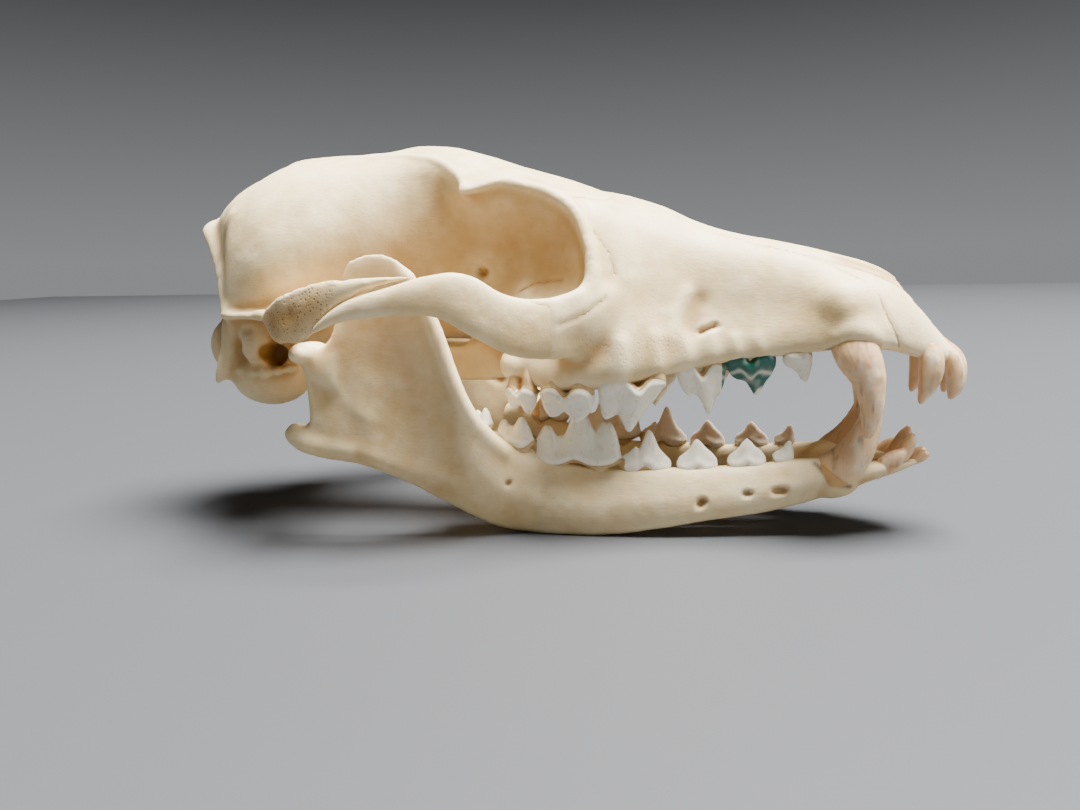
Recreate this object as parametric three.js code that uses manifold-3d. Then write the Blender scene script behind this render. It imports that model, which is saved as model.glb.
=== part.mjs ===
// Jackal skull: the cranium and both halves of the lower jaw with all their teeth, life size, in mm.
// +X runs to the snout, +Y to the animal's left and +Z up. The lower borders of the jaw halves rest on
// Z = 0. The shapes are worked out in a skull frame whose X = 0 lies below the front of the orbit, and
// the finished group is shifted so that its origin is the middle of its footprint.

import * as THREE from 'three';
import { LoftGeometry } from 'three/addons/geometries/LoftGeometry.js';
import { mergeVertices } from 'three/addons/utils/BufferGeometryUtils.js';
import Module from 'manifold-3d';

const wasm = await Module();
wasm.setup();

// Driving dimensions
const JOIN_GAP = 0.3;        // gap between bones that touch
const REST_FLAT = 0.55;      // depth taken off the jaw's lower border where it rests
const VAULT_WALL = 1.8;      // thickness of the braincase's bone at its roof and sides
const BASE_WALL = 3.6;       // thickness of the bone below the braincase
const SIZE_SPREAD = 0.03;    // how much one tooth differs from its fellow on the other side
const RING_SIDES = 24;       // points round a cranium section
const HOLLOW_SIDES = 16;     // points round a section of the braincase's hollow
const CRANIUM_STEP = 5.0;    // distance between cranium sections
const JAW_STEP = 6.0;        // distance between jaw sections
const JAW_SIDES = 12;        // points round a jaw section
const CUT = 200;             // reach of the planes that part the cranium
const MERGE = 1e-4;          // distance within which a shell's points are one point
const SHOULDER_SHARE = 0.7;  // share of the wall that a sloping corner of the hollow is set in
const JAW_SQUARENESS = 0.6;  // below 1, a jaw section is flatter than an ellipse

// A crown: how deep it sinks into the bone, how much it narrows to its ends, and its waist and shoulder
const CROWN = { deepest: 4, sink: 0.6, taper: 0.82, waist: 0.45, lowWaist: 0.3, shoulder: 0.55 };
// Phase of the size spread along a row of teeth
const SPREAD = { step: 2.4, start: 1 };

// Faces: points round a bar's section and sections between two of its stations
const LONG_BAR = { sides: 10, steps: 2 };
const JOINT_BAR = { sides: 10, steps: 1 };
const PROCESS = { sides: 8, steps: 2 };
const SHORT_BAR = { sides: 8, steps: 1 };
const SLIM_BAR = { sides: 6, steps: 2 };
const INCISOR = { sides: 6, steps: 1 };
const BORE = { sides: 12, steps: 1 };
// Faces of a rounded mass: round its middle and from pole to pole
const CAPSULE = { around: 14, down: 8 };
const KNOB = { around: 10, down: 6 };
const HOLLOW = { around: 12, down: 6 };
const BUMP = { around: 8, down: 5 };

// Directions that a bar's half height leans to
const UP = [0, 0, 1];
const FORWARD = [1, 0, 0];
const OUTWARD = [0, 1, 0];
const CREST_LEAN = [1, 0, 0.4];

const SIDES = { right: -1, left: 1 };

// Where the cranium is parted, along X
const PART = { occiput: -75.2, frontal: -25.5, arch: 2.4, snout: 10.45, premaxilla: 70.9 };
// Ends of the braincase's hollow
const BRAIN = { rear: -84.0, front: -18.0 };
// Two points, X and Z, of the slanting suture between the squamosal and the jugal
const SUTURE = { low: [-42.2, 46.4], high: [-19.0, 57.8] };

// Rows of numbers under named fields, as a list of objects
function tableOf(fields, rows) {
  return rows.map((row) => Object.fromEntries(fields.map((field, i) => [field, row[i]])));
}

// Cranium sections from the back to the front. top and floor are heights on the midline; the roof edge,
// the side and the base edge each have a half width (Y) and a height (Z).
const CRANIUM = tableOf(
  ['x', 'top', 'roofY', 'roofZ', 'sideY', 'sideZ', 'baseY', 'baseZ', 'floor'],
  [
    [-87.0, 68.0, 5.0, 64.5, 4.0, 58.0, 3.6, 50.0, 48.0],
    [-84.0, 72.5, 9.0, 67.8, 7.4, 56.0, 8.6, 43.5, 41.0],
    [-80.5, 75.4, 12.6, 70.8, 12.6, 55.0, 13.8, 42.0, 38.8],
    [-77.0, 77.6, 15.2, 72.6, 17.6, 55.0, 18.0, 42.0, 37.2],
    [-72.0, 80.3, 17.5, 74.8, 24.6, 57.0, 21.0, 42.5, 36.5],
    [-62.0, 84.0, 18.5, 78.0, 27.0, 60.5, 20.5, 43.5, 37.0],
    [-52.0, 84.7, 17.5, 78.8, 25.2, 62.5, 17.5, 45.5, 38.0],
    [-42.0, 85.0, 14.5, 79.8, 19.8, 64.5, 12.5, 48.0, 40.0],
    [-33.0, 86.1, 11.5, 81.5, 14.5, 67.0, 9.5, 50.0, 41.5],
    [-26.0, 85.5, 12.8, 81.0, 12.5, 67.0, 8.8, 50.0, 41.5],
    [-18.0, 83.4, 16.5, 77.5, 11.0, 64.5, 9.5, 47.0, 40.0],
    [-10.5, 80.8, 15.8, 76.0, 10.0, 62.0, 14.0, 39.5, 37.0],
    [-6.0, 79.4, 14.4, 75.2, 10.0, 60.5, 19.5, 35.6, 36.0],
    [2.0, 76.9, 13.8, 73.0, 11.5, 58.0, 22.3, 33.4, 35.3],
    [8.0, 74.7, 14.6, 70.0, 16.5, 56.5, 22.6, 33.6, 35.3],
    [14.0, 73.3, 12.8, 67.6, 19.5, 54.0, 22.3, 34.2, 35.8],
    [22.0, 70.7, 10.2, 65.2, 16.0, 52.5, 19.3, 35.6, 36.9],
    [30.0, 66.9, 8.4, 62.5, 12.6, 51.5, 15.2, 37.0, 38.2],
    [38.0, 64.5, 7.6, 60.6, 11.4, 50.5, 13.2, 38.4, 39.5],
    [48.0, 62.4, 7.0, 58.6, 10.8, 50.0, 12.0, 39.2, 40.6],
    [57.0, 60.1, 7.2, 57.0, 12.5, 49.5, 13.2, 40.5, 41.6],
    [63.0, 58.3, 7.4, 55.6, 13.2, 49.0, 13.8, 41.2, 42.0],
    [69.0, 55.6, 7.0, 53.2, 11.6, 47.8, 12.0, 40.3, 41.2],
    [74.0, 50.2, 6.6, 49.0, 9.6, 45.0, 9.8, 38.8, 39.6],
    [79.0, 43.4, 5.2, 42.7, 7.6, 40.8, 7.4, 37.4, 37.6],
    [83.0, 38.7, 2.6, 38.5, 4.2, 37.9, 3.8, 37.0, 37.0],
  ],
);

// Jaw sections from the ramus to the symphysis: each has a foot and a crest, with their distance from the
// midline (Y) and height (Z), and a half thickness at the foot, the middle and the crest.
const JAW = tableOf(
  ['x', 'footY', 'footZ', 'crestY', 'crestZ', 'foot', 'mid', 'crest'],
  [
    [-48.0, 31.8, 20.4, 33.6, 42.0, 1.6, 1.3, 1.6],
    [-44.5, 31.2, 18.6, 33.8, 44.0, 2.1, 1.3, 1.3],
    [-42.0, 30.7, 18.0, 34.0, 47.5, 2.3, 1.3, 1.2],
    [-40.2, 30.3, 17.5, 34.2, 54.5, 2.4, 1.3, 1.1],
    [-38.6, 30.0, 17.0, 34.2, 59.4, 2.4, 1.3, 1.1],
    [-36.0, 29.4, 16.2, 34.0, 61.5, 2.5, 1.4, 1.1],
    [-32.0, 27.6, 14.0, 33.7, 62.3, 2.6, 1.5, 1.2],
    [-28.0, 25.8, 11.6, 33.2, 61.2, 2.7, 1.6, 1.3],
    [-24.7, 24.4, 9.4, 32.4, 57.8, 2.8, 1.8, 1.5],
    [-22.2, 23.3, 8.0, 31.4, 53.0, 2.9, 2.0, 1.7],
    [-20.2, 22.5, 6.9, 30.4, 47.8, 2.9, 2.2, 1.9],
    [-18.3, 21.7, 5.8, 29.2, 41.0, 3.0, 2.5, 2.1],
    [-16.0, 20.6, 3.8, 27.4, 32.5, 3.0, 2.9, 2.4],
    [-12.5, 18.8, 1.9, 23.4, 24.6, 3.0, 3.4, 2.7],
    [-8.0, 17.6, 0.8, 18.6, 19.6, 3.0, 3.6, 3.0],
    [-2.0, 17.0, 0.1, 16.8, 17.0, 3.0, 3.6, 2.9],
    [6.0, 16.8, 0.0, 15.8, 15.6, 3.0, 3.6, 2.9],
    [14.0, 16.2, 0.7, 15.2, 14.9, 3.0, 3.5, 2.8],
    [23.0, 15.2, 2.1, 14.2, 15.2, 2.9, 3.3, 2.7],
    [32.0, 13.7, 3.7, 12.6, 15.3, 2.8, 3.1, 2.6],
    [41.0, 11.8, 5.0, 10.8, 15.8, 2.8, 3.1, 2.5],
    [50.0, 9.4, 6.7, 9.4, 16.8, 2.9, 3.4, 2.6],
    [56.0, 7.6, 8.4, 8.8, 17.2, 3.2, 4.2, 3.2],
    [62.0, 5.8, 10.3, 8.0, 16.8, 3.2, 4.6, 3.6],
    [68.0, 3.6, 12.3, 6.2, 16.4, 2.8, 3.8, 3.0],
    [73.0, 2.7, 14.0, 4.0, 16.4, 1.9, 2.6, 2.2],
    [76.0, 2.2, 15.4, 2.6, 16.6, 1.0, 1.5, 1.0],
  ],
);

// Bars of bone on one side: stations of place, half width and half height, bent round one smooth path.
// The places are [X, distance from the midline, Z].
const ZYGOMATIC_ARCH = [
  { at: [16.0, 15.5, 48.0], wide: 2.2, tall: 7.0 },
  { at: [8.0, 23.2, 47.2], wide: 2.3, tall: 7.2 },
  { at: [0.5, 28.8, 45.8], wide: 2.1, tall: 6.4 },
  { at: [-5.5, 33.6, 47.8], wide: 2.0, tall: 6.0 },
  { at: [-12.0, 38.4, 51.6], wide: 1.9, tall: 5.2 },
  { at: [-18.0, 41.0, 53.0], wide: 1.8, tall: 4.2 },
  { at: [-27.0, 43.0, 53.4], wide: 1.8, tall: 3.6 },
  { at: [-37.0, 43.4, 53.0], wide: 1.8, tall: 3.8 },
  { at: [-44.5, 42.2, 51.6], wide: 1.9, tall: 3.8 },
  { at: [-50.5, 40.2, 49.6], wide: 2.3, tall: 3.6 },
];
const ZYGOMATIC_ROOT = [
  { at: [-55.0, 22.0, 48.6], wide: 7.5, tall: 3.2 },
  { at: [-53.6, 29.0, 48.4], wide: 6.6, tall: 2.6 },
  { at: [-51.8, 35.0, 48.6], wide: 5.4, tall: 3.0 },
  { at: [-49.8, 40.0, 49.6], wide: 3.0, tall: 3.8 },
  { at: [-44.0, 42.3, 51.8], wide: 1.9, tall: 3.4 },
];
const NUCHAL_CREST = [
  { at: [-88.8, 0.0, 69.3], wide: 2.2, tall: 2.6 },
  { at: [-86.6, 6.5, 69.2], wide: 2.0, tall: 3.0 },
  { at: [-81.8, 12.6, 66.6], wide: 1.7, tall: 3.0 },
  { at: [-76.6, 18.0, 59.5], wide: 1.5, tall: 2.8 },
  { at: [-73.6, 22.0, 52.5], wide: 1.6, tall: 2.4 },
  { at: [-72.8, 24.4, 47.2], wide: 2.0, tall: 2.6 },
  { at: [-70.6, 24.2, 42.5], wide: 2.4, tall: 2.4 },
];
const PAROCCIPITAL = [
  { at: [-75.0, 20.0, 46.5], wide: 3.4, tall: 2.0 },
  { at: [-76.6, 21.4, 40.5], wide: 2.7, tall: 1.6 },
  { at: [-77.4, 22.0, 33.2], wide: 1.2, tall: 0.9 },
];
const POSTORBITAL_PROCESS = [
  { at: [-14.0, 9.0, 77.6], wide: 9.0, tall: 2.4 },
  { at: [-15.4, 15.0, 76.2], wide: 6.0, tall: 2.0 },
  { at: [-17.0, 19.2, 74.7], wide: 2.8, tall: 1.3 },
  { at: [-17.6, 20.9, 74.0], wide: 1.0, tall: 0.7 },
];
const PTERYGOID_WALL = [
  { at: [-10.0, 8.0, 36.8], wide: 1.3, tall: 3.4 },
  { at: [-20.0, 7.2, 36.8], wide: 1.0, tall: 4.6 },
  { at: [-31.0, 6.8, 36.4], wide: 0.9, tall: 4.8 },
  { at: [-41.0, 7.2, 37.4], wide: 0.9, tall: 4.4 },
];
const LACRIMAL_RIM = [
  { at: [4.0, 10.5, 69.0], wide: 2.0, tall: 2.6 },
  { at: [7.6, 15.6, 65.0], wide: 2.2, tall: 2.8 },
  { at: [10.0, 19.0, 59.4], wide: 2.4, tall: 2.6 },
  { at: [11.2, 19.6, 51.0], wide: 2.4, tall: 2.6 },
];
const CONDYLE = [
  { at: [-49.6, 27.6, 41.6], wide: 1.6, tall: 1.4 },
  { at: [-49.9, 30.0, 42.0], wide: 2.7, tall: 2.5 },
  { at: [-50.2, 35.0, 42.2], wide: 3.0, tall: 2.7 },
  { at: [-50.2, 38.6, 42.2], wide: 2.6, tall: 2.4 },
  { at: [-50.0, 40.2, 42.0], wide: 1.2, tall: 1.2 },
];
const CONDYLE_NECK = [
  { at: [-44.5, 33.4, 38.0], wide: 1.5, tall: 5.4 },
  { at: [-48.0, 33.6, 39.8], wide: 2.4, tall: 3.4 },
  { at: [-50.5, 33.8, 41.4], wide: 3.4, tall: 2.2 },
];
const ANGULAR_PROCESS = [
  { at: [-42.0, 30.9, 23.0], wide: 1.9, tall: 4.6 },
  { at: [-47.6, 31.8, 23.8], wide: 1.9, tall: 4.2 },
  { at: [-52.0, 32.4, 24.4], wide: 1.7, tall: 3.2 },
  { at: [-54.6, 32.6, 25.6], wide: 1.0, tall: 1.5 },
];
const TOOTH_SHELF = [
  { at: [-21.0, 22.0, 19.0], wide: 3.4, tall: 4.0 },
  { at: [-16.0, 19.2, 20.2], wide: 3.0, tall: 3.8 },
  { at: [-8.0, 16.6, 16.6], wide: 3.0, tall: 3.6 },
  { at: [2.0, 16.0, 13.0], wide: 3.0, tall: 3.0 },
];
const SYMPHYSIS = [
  { at: [50.0, 5.6, 11.0], wide: 3.4, tall: 2.6 },
  { at: [57.0, 3.4, 12.0], wide: 4.0, tall: 3.2 },
  { at: [66.0, 2.6, 13.8], wide: 3.6, tall: 2.4 },
  { at: [74.0, 1.8, 15.6], wide: 2.4, tall: 1.0 },
];

// Rounded masses: centre [X, distance from the midline, Z] and half sizes
const BULLA = { at: [-67.8, 14.9, 35.0], size: [9.3, 6.9, 7.4], turn: -0.3 };
const OCCIPITAL_CONDYLE = { at: [-83.4, 8.6, 40.4], size: [4.4, 4.2, 6.2], turn: 0.5 };
const MASTOID = { at: [-71.8, 22.0, 43.8], size: [4.6, 3.6, 4.2], turn: 0 };
const JUGAL_PEAK = { at: [-13.6, 39.6, 56.4], size: [2.6, 1.3, 2.0], turn: 0 };
const MEATUS = { at: [-64.5, 22.6, 40.4], size: [2.6, 6.0, 2.4], turn: 0 };
const EAR_RECESS = { at: [-66.5, 27.5, 42.0], size: [4.4, 4.4, 3.4], turn: 0 };

const MASSETER_HOLLOW = { at: [-32.0, 38.6, 33.0], size: [13.5, 5.2, 13.5], turn: 0 };

// Bores, with half widths and half heights: into the braincase from behind, into the nose from the front,
// and the air way behind the palate
const FORAMEN_MAGNUM = { from: [-96, 0, 46.2], to: [-66, 0, 52.5], wide: 6.6, tall: 5.4 };
const NASAL_OPENING = { from: [84, 0, 51.6], to: [60, 0, 47.2], wide: 5.6, tall: 5.0 };
const CHOANA = { from: [-60, 0, 37.6], to: [-13, 0, 37.6], wide: 5.4, tall: 3.8 };

// Cheek teeth: the middle of the neck [X, distance from the midline, Z], the crown's length, width and
// height, the way it faces in the tooth row, and its edge from front to back as shares of length and height
const EDGE = {
  simple: [[0, 0.12], [0.2, 0.45], [0.44, 1], [0.75, 0.42], [1, 0.15]],
  premolar: [[0, 0.12], [0.14, 0.34], [0.4, 1], [0.62, 0.5], [0.7, 0.58], [0.86, 0.36], [1, 0.12]],
  shear: [[0, 0.1], [0.14, 0.38], [0.5, 1], [0.68, 0.5], [0.9, 0.68], [1, 0.16]],
  twin: [[0, 0.15], [0.28, 0.9], [0.48, 0.56], [0.7, 0.84], [1, 0.18]],
  carnassial: [
    [0, 0.16], [0.1, 0.7], [0.24, 0.5], [0.44, 1], [0.6, 0.34], [0.78, 0.5], [0.9, 0.42], [1, 0.14],
  ],
  grinder: [[0, 0.2], [0.2, 0.7], [0.32, 0.86], [0.55, 0.6], [0.72, 0.7], [1, 0.2]],
};
const UPPER_CHEEK = [
  { at: [50.7, 10.6, 39.4], long: 6.0, wide: 2.8, high: 6.0, turn: 0.03, edge: 'simple' },
  { at: [41.5, 11.2, 38.6], long: 9.6, wide: 3.0, high: 7.4, turn: 0.1, edge: 'premolar' },
  { at: [31.4, 13.0, 37.0], long: 9.8, wide: 3.2, high: 9.8, turn: 0.28, edge: 'premolar' },
  { at: [17.6, 19.4, 34.4], long: 14.2, wide: 4.6, high: 11.2, turn: 0.3, edge: 'shear' },
  { at: [4.4, 21.0, 32.8], long: 11.6, wide: 5.0, high: 7.0, turn: -0.1, edge: 'twin' },
  { at: [-5.9, 18.8, 33.6], long: 7.2, wide: 5.0, high: 6.2, turn: -0.3, edge: 'twin' },
];
const UPPER_INNER_LOBES = [
  { at: [18.5, 15.8, 35.2], size: [2.6, 2.4, 3.2], turn: 0 },
  { at: [1.4, 16.2, 32.8], size: [3.8, 5.6, 3.4], turn: 0 },
  { at: [-6.3, 15.2, 34.0], size: [2.8, 4.2, 3.2], turn: 0 },
];
const LOWER_CHEEK = [
  { at: [48.4, 9.2, 16.8], long: 4.6, wide: 2.4, high: 4.0, turn: 0.2, edge: 'simple' },
  { at: [40.6, 10.6, 15.9], long: 8.2, wide: 2.6, high: 5.4, turn: 0.2, edge: 'premolar' },
  { at: [30.6, 12.6, 15.2], long: 8.8, wide: 2.8, high: 6.2, turn: 0.22, edge: 'premolar' },
  { at: [19.8, 14.4, 15.2], long: 11.2, wide: 3.4, high: 8.5, turn: 0.16, edge: 'premolar' },
  { at: [4.6, 15.6, 16.2], long: 18.8, wide: 5.0, high: 13.0, turn: 0.06, edge: 'carnassial' },
  { at: [-9.4, 16.6, 20.4], long: 9.0, wide: 5.0, high: 6.2, turn: -0.16, edge: 'grinder' },
  { at: [-15.6, 18.6, 23.6], long: 4.6, wide: 3.8, high: 4.2, turn: -0.3, edge: 'twin' },
];

// Canines and incisors: bent cones. An incisor's stations are [X, distance from the midline, Z, half width,
// half depth].
const UPPER_CANINE = [
  { at: [59.0, 9.4, 50.0], wide: 3.0, tall: 2.2 },
  { at: [62.2, 13.0, 42.0], wide: 4.7, tall: 3.2 },
  { at: [63.2, 13.6, 36.0], wide: 4.2, tall: 3.0 },
  { at: [64.6, 13.9, 29.5], wide: 2.8, tall: 2.1 },
  { at: [64.8, 13.9, 24.0], wide: 0.9, tall: 0.7 },
];
const LOWER_CANINE = [
  { at: [56.5, 7.4, 10.4], wide: 3.2, tall: 2.6 },
  { at: [61.2, 8.2, 15.0], wide: 4.6, tall: 3.1 },
  { at: [64.9, 8.9, 22.0], wide: 3.6, tall: 2.6 },
  { at: [66.9, 9.3, 29.5], wide: 2.3, tall: 1.8 },
  { at: [67.6, 9.6, 36.6], wide: 0.7, tall: 0.5 },
];
const UPPER_INCISORS = [
  [
    [80.0, 1.9, 42.0, 1.4, 1.2], [82.4, 2.0, 38.0, 1.9, 1.6],
    [84.0, 2.0, 33.6, 1.6, 1.6], [83.8, 2.0, 30.0, 0.6, 1.0],
  ],
  [
    [78.0, 4.8, 42.0, 1.5, 1.3], [80.2, 5.1, 37.8, 2.1, 1.8],
    [81.6, 5.2, 33.0, 1.8, 1.8], [81.0, 5.2, 29.3, 0.6, 1.0],
  ],
  [
    [74.6, 7.2, 43.0, 1.8, 1.6], [76.6, 8.1, 38.4, 2.8, 2.2],
    [77.4, 8.5, 33.6, 2.3, 2.0], [75.6, 8.5, 29.0, 0.6, 0.7],
  ],
];
const LOWER_INCISORS = [
  [
    [71.5, 1.9, 14.6, 1.0, 1.2], [76.0, 1.8, 16.6, 1.2, 1.4],
    [79.0, 1.8, 17.6, 1.0, 1.4], [81.0, 1.8, 19.0, 0.5, 1.1],
  ],
  [
    [69.5, 4.4, 14.6, 1.2, 1.2], [73.6, 4.4, 17.0, 1.4, 1.5],
    [76.4, 4.6, 18.8, 1.1, 1.5], [78.2, 4.7, 20.6, 0.5, 1.1],
  ],
  [
    [67.0, 6.2, 14.0, 1.4, 1.3], [70.4, 6.6, 17.0, 1.6, 1.6],
    [73.0, 6.9, 19.6, 1.3, 1.6], [74.6, 7.0, 22.2, 0.5, 0.9],
  ],
];

const UPPER_TEETH = {
  cheek: UPPER_CHEEK, canine: UPPER_CANINE, incisors: UPPER_INCISORS, lobes: UPPER_INNER_LOBES,
};
const LOWER_TEETH = { cheek: LOWER_CHEEK, canine: LOWER_CANINE, incisors: LOWER_INCISORS, lobes: [] };

// A closed geometry as a solid, and its mirror image on the other side of the midline
function solidOf(geometry) {
  const shell = new THREE.BufferGeometry().copy(geometry);
  shell.deleteAttribute('normal');
  shell.deleteAttribute('uv');
  const merged = mergeVertices(shell, MERGE);
  return new wasm.Manifold(new wasm.Mesh({
    numProp: 3,
    vertProperties: merged.getAttribute('position').array,
    triVerts: Uint32Array.from(merged.getIndex().array),
  }));
}

function mirrored(geometry) {
  const position = geometry.getAttribute('position');
  for (let i = 0; i < position.count; i += 1) {
    position.setY(i, -position.getY(i));
  }
  const index = geometry.getIndex();
  for (let i = 0; i < index.count; i += 3) {
    const second = index.getX(i + 1);
    index.setX(i + 1, index.getX(i + 2));
    index.setX(i + 2, second);
  }
  return geometry;
}

function sided(geometry, side) {
  return solidOf(side < 0 ? mirrored(geometry) : geometry);
}

// Monotone cubic through one field of a table whose rows are sorted by x
function secant(rows, i, field) {
  return (rows[i + 1][field] - rows[i][field]) / (rows[i + 1].x - rows[i].x);
}

function slopeAt(rows, i, field) {
  const last = rows.length - 1;
  if (i === 0) return secant(rows, 0, field);
  if (i === last) return secant(rows, last - 1, field);
  const before = secant(rows, i - 1, field);
  const after = secant(rows, i, field);
  return before * after > 0 ? (2 * before * after) / (before + after) : 0;
}

function stationAt(rows, x) {
  const next = rows.findIndex((row) => row.x >= x);
  const i = Math.max(0, next - 1);
  const span = rows[i + 1].x - rows[i].x;
  const t = (x - rows[i].x) / span;
  const station = { x };
  for (const field of Object.keys(rows[i])) {
    if (field === 'x') continue;
    const a = rows[i][field];
    const b = rows[i + 1][field];
    const start = slopeAt(rows, i, field) * span;
    const end = slopeAt(rows, i + 1, field) * span;
    station[field] = a + start * t + (3 * (b - a) - 2 * start - end) * t ** 2
      + (2 * (a - b) + start + end) * t ** 3;
  }
  return station;
}

function placesAlong(rows, step) {
  const places = [];
  for (let i = 0; i < rows.length - 1; i += 1) {
    const span = rows[i + 1].x - rows[i].x;
    const count = Math.max(1, Math.round(span / step));
    for (let k = 0; k < count; k += 1) {
      places.push(rows[i].x + (span * k) / count);
    }
  }
  places.push(rows[rows.length - 1].x);
  return places;
}

// One section of the cranium, right-handed about +X
function craniumSection(x) {
  return sectionThrough(x, stationAt(CRANIUM, x), RING_SIDES);
}

// The same section set in by the bone's thickness, for the braincase's hollow
function hollowSection(x) {
  const s = stationAt(CRANIUM, x);
  const inner = {
    top: s.top - VAULT_WALL,
    roofY: s.roofY - VAULT_WALL * SHOULDER_SHARE,
    roofZ: s.roofZ - VAULT_WALL * SHOULDER_SHARE,
    sideY: s.sideY - VAULT_WALL,
    sideZ: s.sideZ,
    baseY: s.baseY - VAULT_WALL,
    baseZ: s.baseZ + BASE_WALL * SHOULDER_SHARE,
    floor: s.floor + BASE_WALL,
  };
  return sectionThrough(x, inner, HOLLOW_SIDES);
}

function sectionThrough(x, s, sides) {
  const corners = [
    [0, s.top], [-s.roofY, s.roofZ], [-s.sideY, s.sideZ], [-s.baseY, s.baseZ],
    [0, s.floor], [s.baseY, s.baseZ], [s.sideY, s.sideZ], [s.roofY, s.roofZ],
  ];
  const curve = new THREE.CatmullRomCurve3(corners.map(([y, z]) => new THREE.Vector3(x, y, z)), true);
  return curve.getPoints(sides).slice(0, sides);
}

// One section of a jaw half: a tall rounded plate from its foot to its crest, which leans outwards
function jawSection(x) {
  const s = stationAt(JAW, x);
  const ring = [];
  for (let k = 0; k < JAW_SIDES; k += 1) {
    const angle = (2 * Math.PI * k) / JAW_SIDES;
    const height = (1 + Math.sin(angle)) / 2;
    const half = height < 0.5
      ? THREE.MathUtils.lerp(s.foot, s.mid, height * 2)
      : THREE.MathUtils.lerp(s.mid, s.crest, height * 2 - 1);
    const bulge = Math.sign(Math.cos(angle)) * Math.abs(Math.cos(angle)) ** JAW_SQUARENESS;
    const centre = THREE.MathUtils.lerp(s.footY, s.crestY, height);
    const z = THREE.MathUtils.lerp(s.footZ, s.crestZ, height);
    ring.push(new THREE.Vector3(x, centre + bulge * half, z));
  }
  return ring;
}

function capped(sections) {
  return new LoftGeometry(sections, { capStart: true, capEnd: true });
}

// A bent bar: an oval section carried along a smooth path, its height kept as upright as it can be
function bar(stations, { sides, steps }, up = UP) {
  const path = new THREE.CatmullRomCurve3(stations.map(({ at }) => new THREE.Vector3(...at)));
  const size = new THREE.CatmullRomCurve3(stations.map(({ wide, tall }) => new THREE.Vector3(wide, tall, 0)));
  path.curveType = 'catmullrom';
  size.curveType = 'catmullrom';
  const count = (stations.length - 1) * steps;
  const sections = [];
  for (let i = 0; i <= count; i += 1) {
    const centre = path.getPoint(i / count);
    const along = path.getTangent(i / count);
    const half = size.getPoint(i / count);
    const upright = new THREE.Vector3(...up).projectOnPlane(along).normalize();
    const across = new THREE.Vector3().crossVectors(upright, along);
    const ring = [];
    for (let k = 0; k < sides; k += 1) {
      const angle = (2 * Math.PI * k) / sides;
      ring.push(centre.clone()
        .addScaledVector(across, half.x * Math.cos(angle))
        .addScaledVector(upright, half.y * Math.sin(angle)));
    }
    sections.push(ring);
  }
  return capped(sections);
}

function lump({ at, size, turn }, { around, down }) {
  const geometry = new THREE.SphereGeometry(1, around, down);
  geometry.scale(...size);
  geometry.rotateZ(turn);
  geometry.translate(...at);
  return geometry;
}

function bore({ from, to, wide, tall }) {
  return bar([{ at: from, wide, tall }, { at: to, wide, tall }], BORE);
}

// A cheek tooth: sections across the row from its front to its back, each a blunt wedge whose edge
// follows the crown's outline. It is made upright and turned over for the upper jaw.
function cheekTooth({ at, long, wide, high, turn, edge }, upper, vary) {
  const sink = Math.min(CROWN.deepest, high * CROWN.sink);
  const sections = EDGE[edge].map(([share, rise]) => {
    const middle = 2 * share - 1;
    const half = (wide / 2) * Math.sqrt(1 - CROWN.taper * middle ** 2);
    const shoulder = half * CROWN.shoulder;
    const top = high * rise * vary;
    const x = (0.5 - share) * long * vary;
    const waist = Math.min(top * CROWN.waist, high * CROWN.lowWaist);
    const middleHeight = (top + waist) / 2;
    return [
      [0, top], [-shoulder, middleHeight], [-half, waist],
      [0, -sink], [half, waist], [shoulder, middleHeight],
    ].map(([y, z]) => new THREE.Vector3(x, y, z));
  });
  const geometry = capped(sections.reverse());
  if (upper) geometry.rotateX(Math.PI);
  geometry.rotateZ(-turn);
  geometry.translate(...at);
  return geometry;
}

function incisor(stations) {
  const rows = stations.map(([x, y, z, wide, tall]) => ({ at: [x, y, z], wide, tall }));
  return bar(rows, INCISOR, OUTWARD);
}

// Every tooth of one side of one jaw, a little larger or smaller than its fellow
function toothRow(side, { cheek, canine, incisors, lobes }, upper) {
  const row = [];
  cheek.forEach((tooth, i) => {
    const vary = 1 + side * SIZE_SPREAD * Math.sin(SPREAD.step * i + SPREAD.start);
    row.push(sided(cheekTooth(tooth, upper, vary), side));
  });
  row.push(sided(bar(canine, PROCESS, OUTWARD), side));
  incisors.forEach((tooth) => row.push(sided(incisor(tooth), side)));
  lobes.forEach((lobe) => row.push(sided(lump(lobe, BUMP), side)));
  return row;
}

const joined = (solids) => solids.reduce((whole, solid) => whole.add(solid));

function largest(solid) {
  return solid.decompose().reduce((a, b) => (a.volume() > b.volume() ? a : b));
}

// A block that fills one side of a plane across an axis, for parting and trimming
function blockFrom(low, high) {
  const size = high.map((value, i) => value - low[i]);
  const geometry = new THREE.BoxGeometry(...size);
  geometry.translate(...low.map((value, i) => value + size[i] / 2));
  return solidOf(geometry);
}

function between(solid, rear, front) {
  return solid.intersect(blockFrom([rear, -CUT, -CUT], [front, CUT, CUT]));
}

// Grown copy of a rounded mass, to cut the room that it and its joint gap need
function roomFor(mass) {
  return { ...mass, size: mass.size.map((half) => half + JOIN_GAP) };
}

function roomAlong(stations) {
  return stations.map((row) => ({ at: row.at, wide: row.wide + JOIN_GAP, tall: row.tall + JOIN_GAP }));
}

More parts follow.
